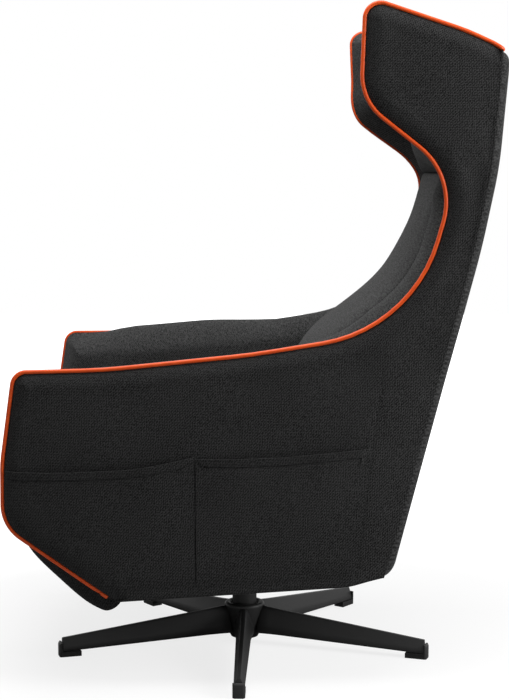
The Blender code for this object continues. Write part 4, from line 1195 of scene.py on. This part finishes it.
# A section of a leg is given as low, high, wide at the shoulder, narrow at the ridge, and how fast it narrows
base = {"legs": 5, "merge": 0.00002, "radius": 0.350, "tip": 0.3438,
        "hubRadii": [(0.0300, 0.021), (0.0370, 0.0715)],
        "root": (0.022, 0.071, 0.036, 0.0050, 0.62), "neck": (0.0214, 0.0690, 0.0310, 0.0064, 0.80),
        "waist": (0.0205, 0.066, 0.027, 0.0080, 1.0), "end": (0.010, 0.034, 0.0185, 0.0060, 1.0),
        "neckAt": 0.0520, "waistAt": 0.0720, "shoulder": 0.30, "rootSunk": 0.0012, "legBevel": 0.0009,
        "levels": (0.0, 0.12, 0.42, 0.56, 0.70, 0.82, 0.92, 1.0),
        "hub": [(0.0227, 0.011), (0.0250, 0.011), (0.0262, 0.0165), (0.0285, 0.0188), (0.0300, 0.0215),
                (0.0370, 0.0700), (0.0370, 0.0715), (0.0364, 0.0739), (0.0350, 0.0757), (0.0330, 0.0765),
                (0.0290, 0.0765), (0.0262, 0.0745), (0.0250, 0.0700), (0.0227, 0.0690), (0.0227, 0.011)],
        "hubSteps": 72, "hubBevel": 0.0008,
        "tube": [(0.0175, 0.012), (0.0225, 0.012), (0.0225, 0.150), (0.0175, 0.150), (0.0175, 0.012)],
        "tubeSteps": 56, "tubeBevel": 0.0006,
        "capWidth": 0.0215, "capHeight": 0.026, "capLength": 0.0060, "capSole": 0.040, "capChamfer": 0.003,
        "capGap": 0.0003, "capBevel": 0.0007}


def turnedTo(piece, name, angle):
    turn = Matrix.Rotation(angle, 3, "Z")
    return reshaped(copied(piece, name), lambda x, y, z: turn @ Vector((x, y, z)) + Vector((0, axisY, 0)))


def legRing(reach, low, high, wide, narrow, power):
    right = []
    for level in sorted((base["shoulder"], *base["levels"])):
        climb = max(level - base["shoulder"], 0.0) / (1 - base["shoulder"])
        z = mix(low, high, level)
        half = narrow / 2 + (wide - narrow) / 2 * (1 - climb) ** power
        radius = reach or along(base["hubRadii"], z) - base["rootSunk"]
        right.append((radius, half, z))
    return right + [(radius, -half, z) for radius, half, z in reversed(right)]


def legPattern():
    rings = [legRing(None, *base["root"]), legRing(base["neckAt"], *base["neck"]),
             legRing(base["waistAt"], *base["waist"]), legRing(base["tip"], *base["end"])]
    leg = stackRings("legPattern", rings)
    return finished(bevelled(leg, base["legBevel"], segments=2, sharp=32), smooth=30)


def capPattern():
    outer, sole, under = base["radius"], base["radius"] - base["capSole"], base["end"][0] - base["capGap"]
    inner, height, chamfer = base["radius"] - base["capLength"], base["capHeight"], base["capChamfer"]
    profile = [(sole, 0), (outer, 0), (outer, height - chamfer), (outer - chamfer, height), (inner, height),
               (inner, under), (sole, under)]
    half = base["capWidth"] / 2
    foot = stackRings("capPattern", [[(r, y, z) for r, z in profile] for y in (-half, half)])

    def upright(edge):
        one, two = [vert.co for vert in edge.verts]
        return abs(one.x - outer) < hair and abs(two.x - outer) < hair and abs(one.z - two.z) > chamfer

    pick(foot, "EDGE", upright)
    bpy.ops.mesh.bevel(offset=chamfer, segments=1, affect="EDGES")
    bevelled(foot, base["capBevel"], segments=1, sharp=30, miter_outer="MITER_ARC")
    return finished(foot, smooth=30)


def buildBase():
    hub = spun("baseHub", base["hub"], base["hubSteps"], base["hubBevel"])
    tube = spun("columnTube", base["tube"], base["tubeSteps"], base["tubeBevel"])
    for made, node in ((hub, "base_hub"), (tube, "column_tube")):
        reshaped(made, lambda x, y, z: (x, y + axisY, z))
        dressed(made, blackSteel, replaces=[node], body="base")
    leg, foot = legPattern(), capPattern()
    for k in range(base["legs"]):
        angle, number = 2 * math.pi * k / base["legs"], str(k + 1)
        made = turnedTo(leg, "baseLeg" + number, angle)
        dressed(made, blackSteel, replaces=["base_leg_" + number], body="base")
        made = turnedTo(foot, "footCap" + number, angle)
        dressed(made, blackNylon, replaces=["foot_cap_" + number], body="base")
    for pattern in (leg, foot):
        bpy.data.objects.remove(pattern)
    print("base made")


# What is kept from the CAD: frame, springs, swivel and footrest fittings. A later line wins
cadFinishes = [(beech, ("_beam", "_rail")), (charcoal, ("front_rail",)), (plywood, ("_board",)),
               (zinc, ("seat_spring", "plate_bolt", "retaining_clip", "thrust_washer", "footrest_rod")),
               (blackSteel, ("swivel_plate", "swivel_spindle", "footrest_bracket")),
               (blackNylon, ("column_bush", "footrest_bush"))]


def dressCadNodes():
    for name, node in frame["nodes"].items():
        for finish, words in cadFinishes:
            if any(word in name for word in words):
                node.data.materials.clear()
                node.data.materials.append(finish)
    print("frame pieces dressed")


# Camera, light and floor
view = {"place": (3.109, 0.087, 0.884), "sensor": 36.0, "lens": 87.77, "yaw": -1.26, "pitch": 6.2}
light = {"world": 0.135, "floor": 0.36, "floorSize": 14.0, "floorRoughness": 0.9, "glow": 1.60,
         "glowShare": 0.5, "near": 0.7, "fade": 0.9}
lamps = [("overhead", (0.4, -0.1, 2.7), (0.0, 0.0, 0.4), 1.8, 80.0),
         ("rear", (0.7, 1.9, 1.0), (0.0, 0.3, 0.7), 1.0, 44.0),
         ("front", (0.8, -2.8, 1.5), (0.0, 0.0, 0.5), 1.6, 4.0)]


def facing(run):
    return run.to_track_quat("-Z", "Y").to_euler()


def placeCamera():
    yaw, pitch = math.radians(view["yaw"]), math.radians(view["pitch"])
    ahead = Vector((-math.cos(yaw) * math.cos(pitch), math.sin(yaw) * math.cos(pitch), -math.sin(pitch)))
    x, y, z = view["place"]
    bpy.ops.object.camera_add(location=(x, y + axisY, z), rotation=facing(ahead))
    scene.camera = bpy.context.object
    scene.camera.data.sensor_width = view["sensor"]
    scene.camera.data.lens = view["lens"]


def hangLamps():
    for name, place, aim, size, power in lamps:
        bpy.ops.object.light_add(type="AREA", location=place, rotation=facing(Vector(aim) - Vector(place)))
        lamp = bpy.context.object
        lamp.name = name
        lamp.data.size = size
        lamp.data.energy = power


def layFloor():
    # the camera sees paper that glows towards its far end
    bpy.ops.mesh.primitive_plane_add(size=light["floorSize"])
    floor = named("floor")
    paper = bpy.data.materials.new("paper")
    paper.use_nodes = True
    tree = paper.node_tree
    shader = tree.nodes["Principled BSDF"]
    shader.inputs["Base Color"].default_value = (*grey(light["floor"]), 1.0)
    shader.inputs["Roughness"].default_value = light["floorRoughness"]
    seen = Wire(tree, None).node("ShaderNodeLightPath", {}, {}, "Is Camera Ray")
    glow = seen.node("ShaderNodeEmission", {}, {"Strength": light["glow"]})
    place = seen.node("ShaderNodeTexCoord", {}, {}, "Object")
    reach = place.node("ShaderNodeVectorMath", {"operation": "LENGTH"}, {0: place}, "Value")
    away = ((reach - light["near"]) * light["fade"]).clamped()
    share = seen * (away * (1.0 - light["glowShare"]) + light["glowShare"])
    both = seen.node("ShaderNodeMixShader", {}, {0: share, 1: Wire(tree, shader.outputs[0]), 2: glow})
    tree.links.new(both.socket, tree.nodes["Material Output"].inputs["Surface"])
    floor.data.materials.append(paper)


def lightWorld():
    # white to look at and in reflections, dim as a light
    scene.world = bpy.data.worlds.new("studio")
    scene.world.use_nodes = True
    tree = scene.world.node_tree
    camera, glossy, through = [Wire(tree, None).node("ShaderNodeLightPath", {}, {}, kind) for kind in
                               ("Is Camera Ray", "Is Glossy Ray", "Is Transmission Ray")]
    strength = light["world"] + (camera + glossy + through).clamped() * (1.0 - light["world"])
    tree.links.new(strength.socket, tree.nodes["Background"].inputs["Strength"])
    tree.nodes["Background"].inputs["Color"].default_value = (1.0, 1.0, 1.0, 1.0)


def buildStage():
    deselect()
    placeCamera()
    hangLamps()
    deselect()
    layFloor()
    lightWorld()
    scene.view_settings.view_transform = "Standard"
    print("stage made")


buildOuterCover()
buildInnerCover("left")
buildInnerCover("right")
buildPiping()
buildPocket("front")
buildPocket("rear")
buildBackCover()
buildCushions()
buildDustCover()
buildBase()
dressCadNodes()
buildStage()
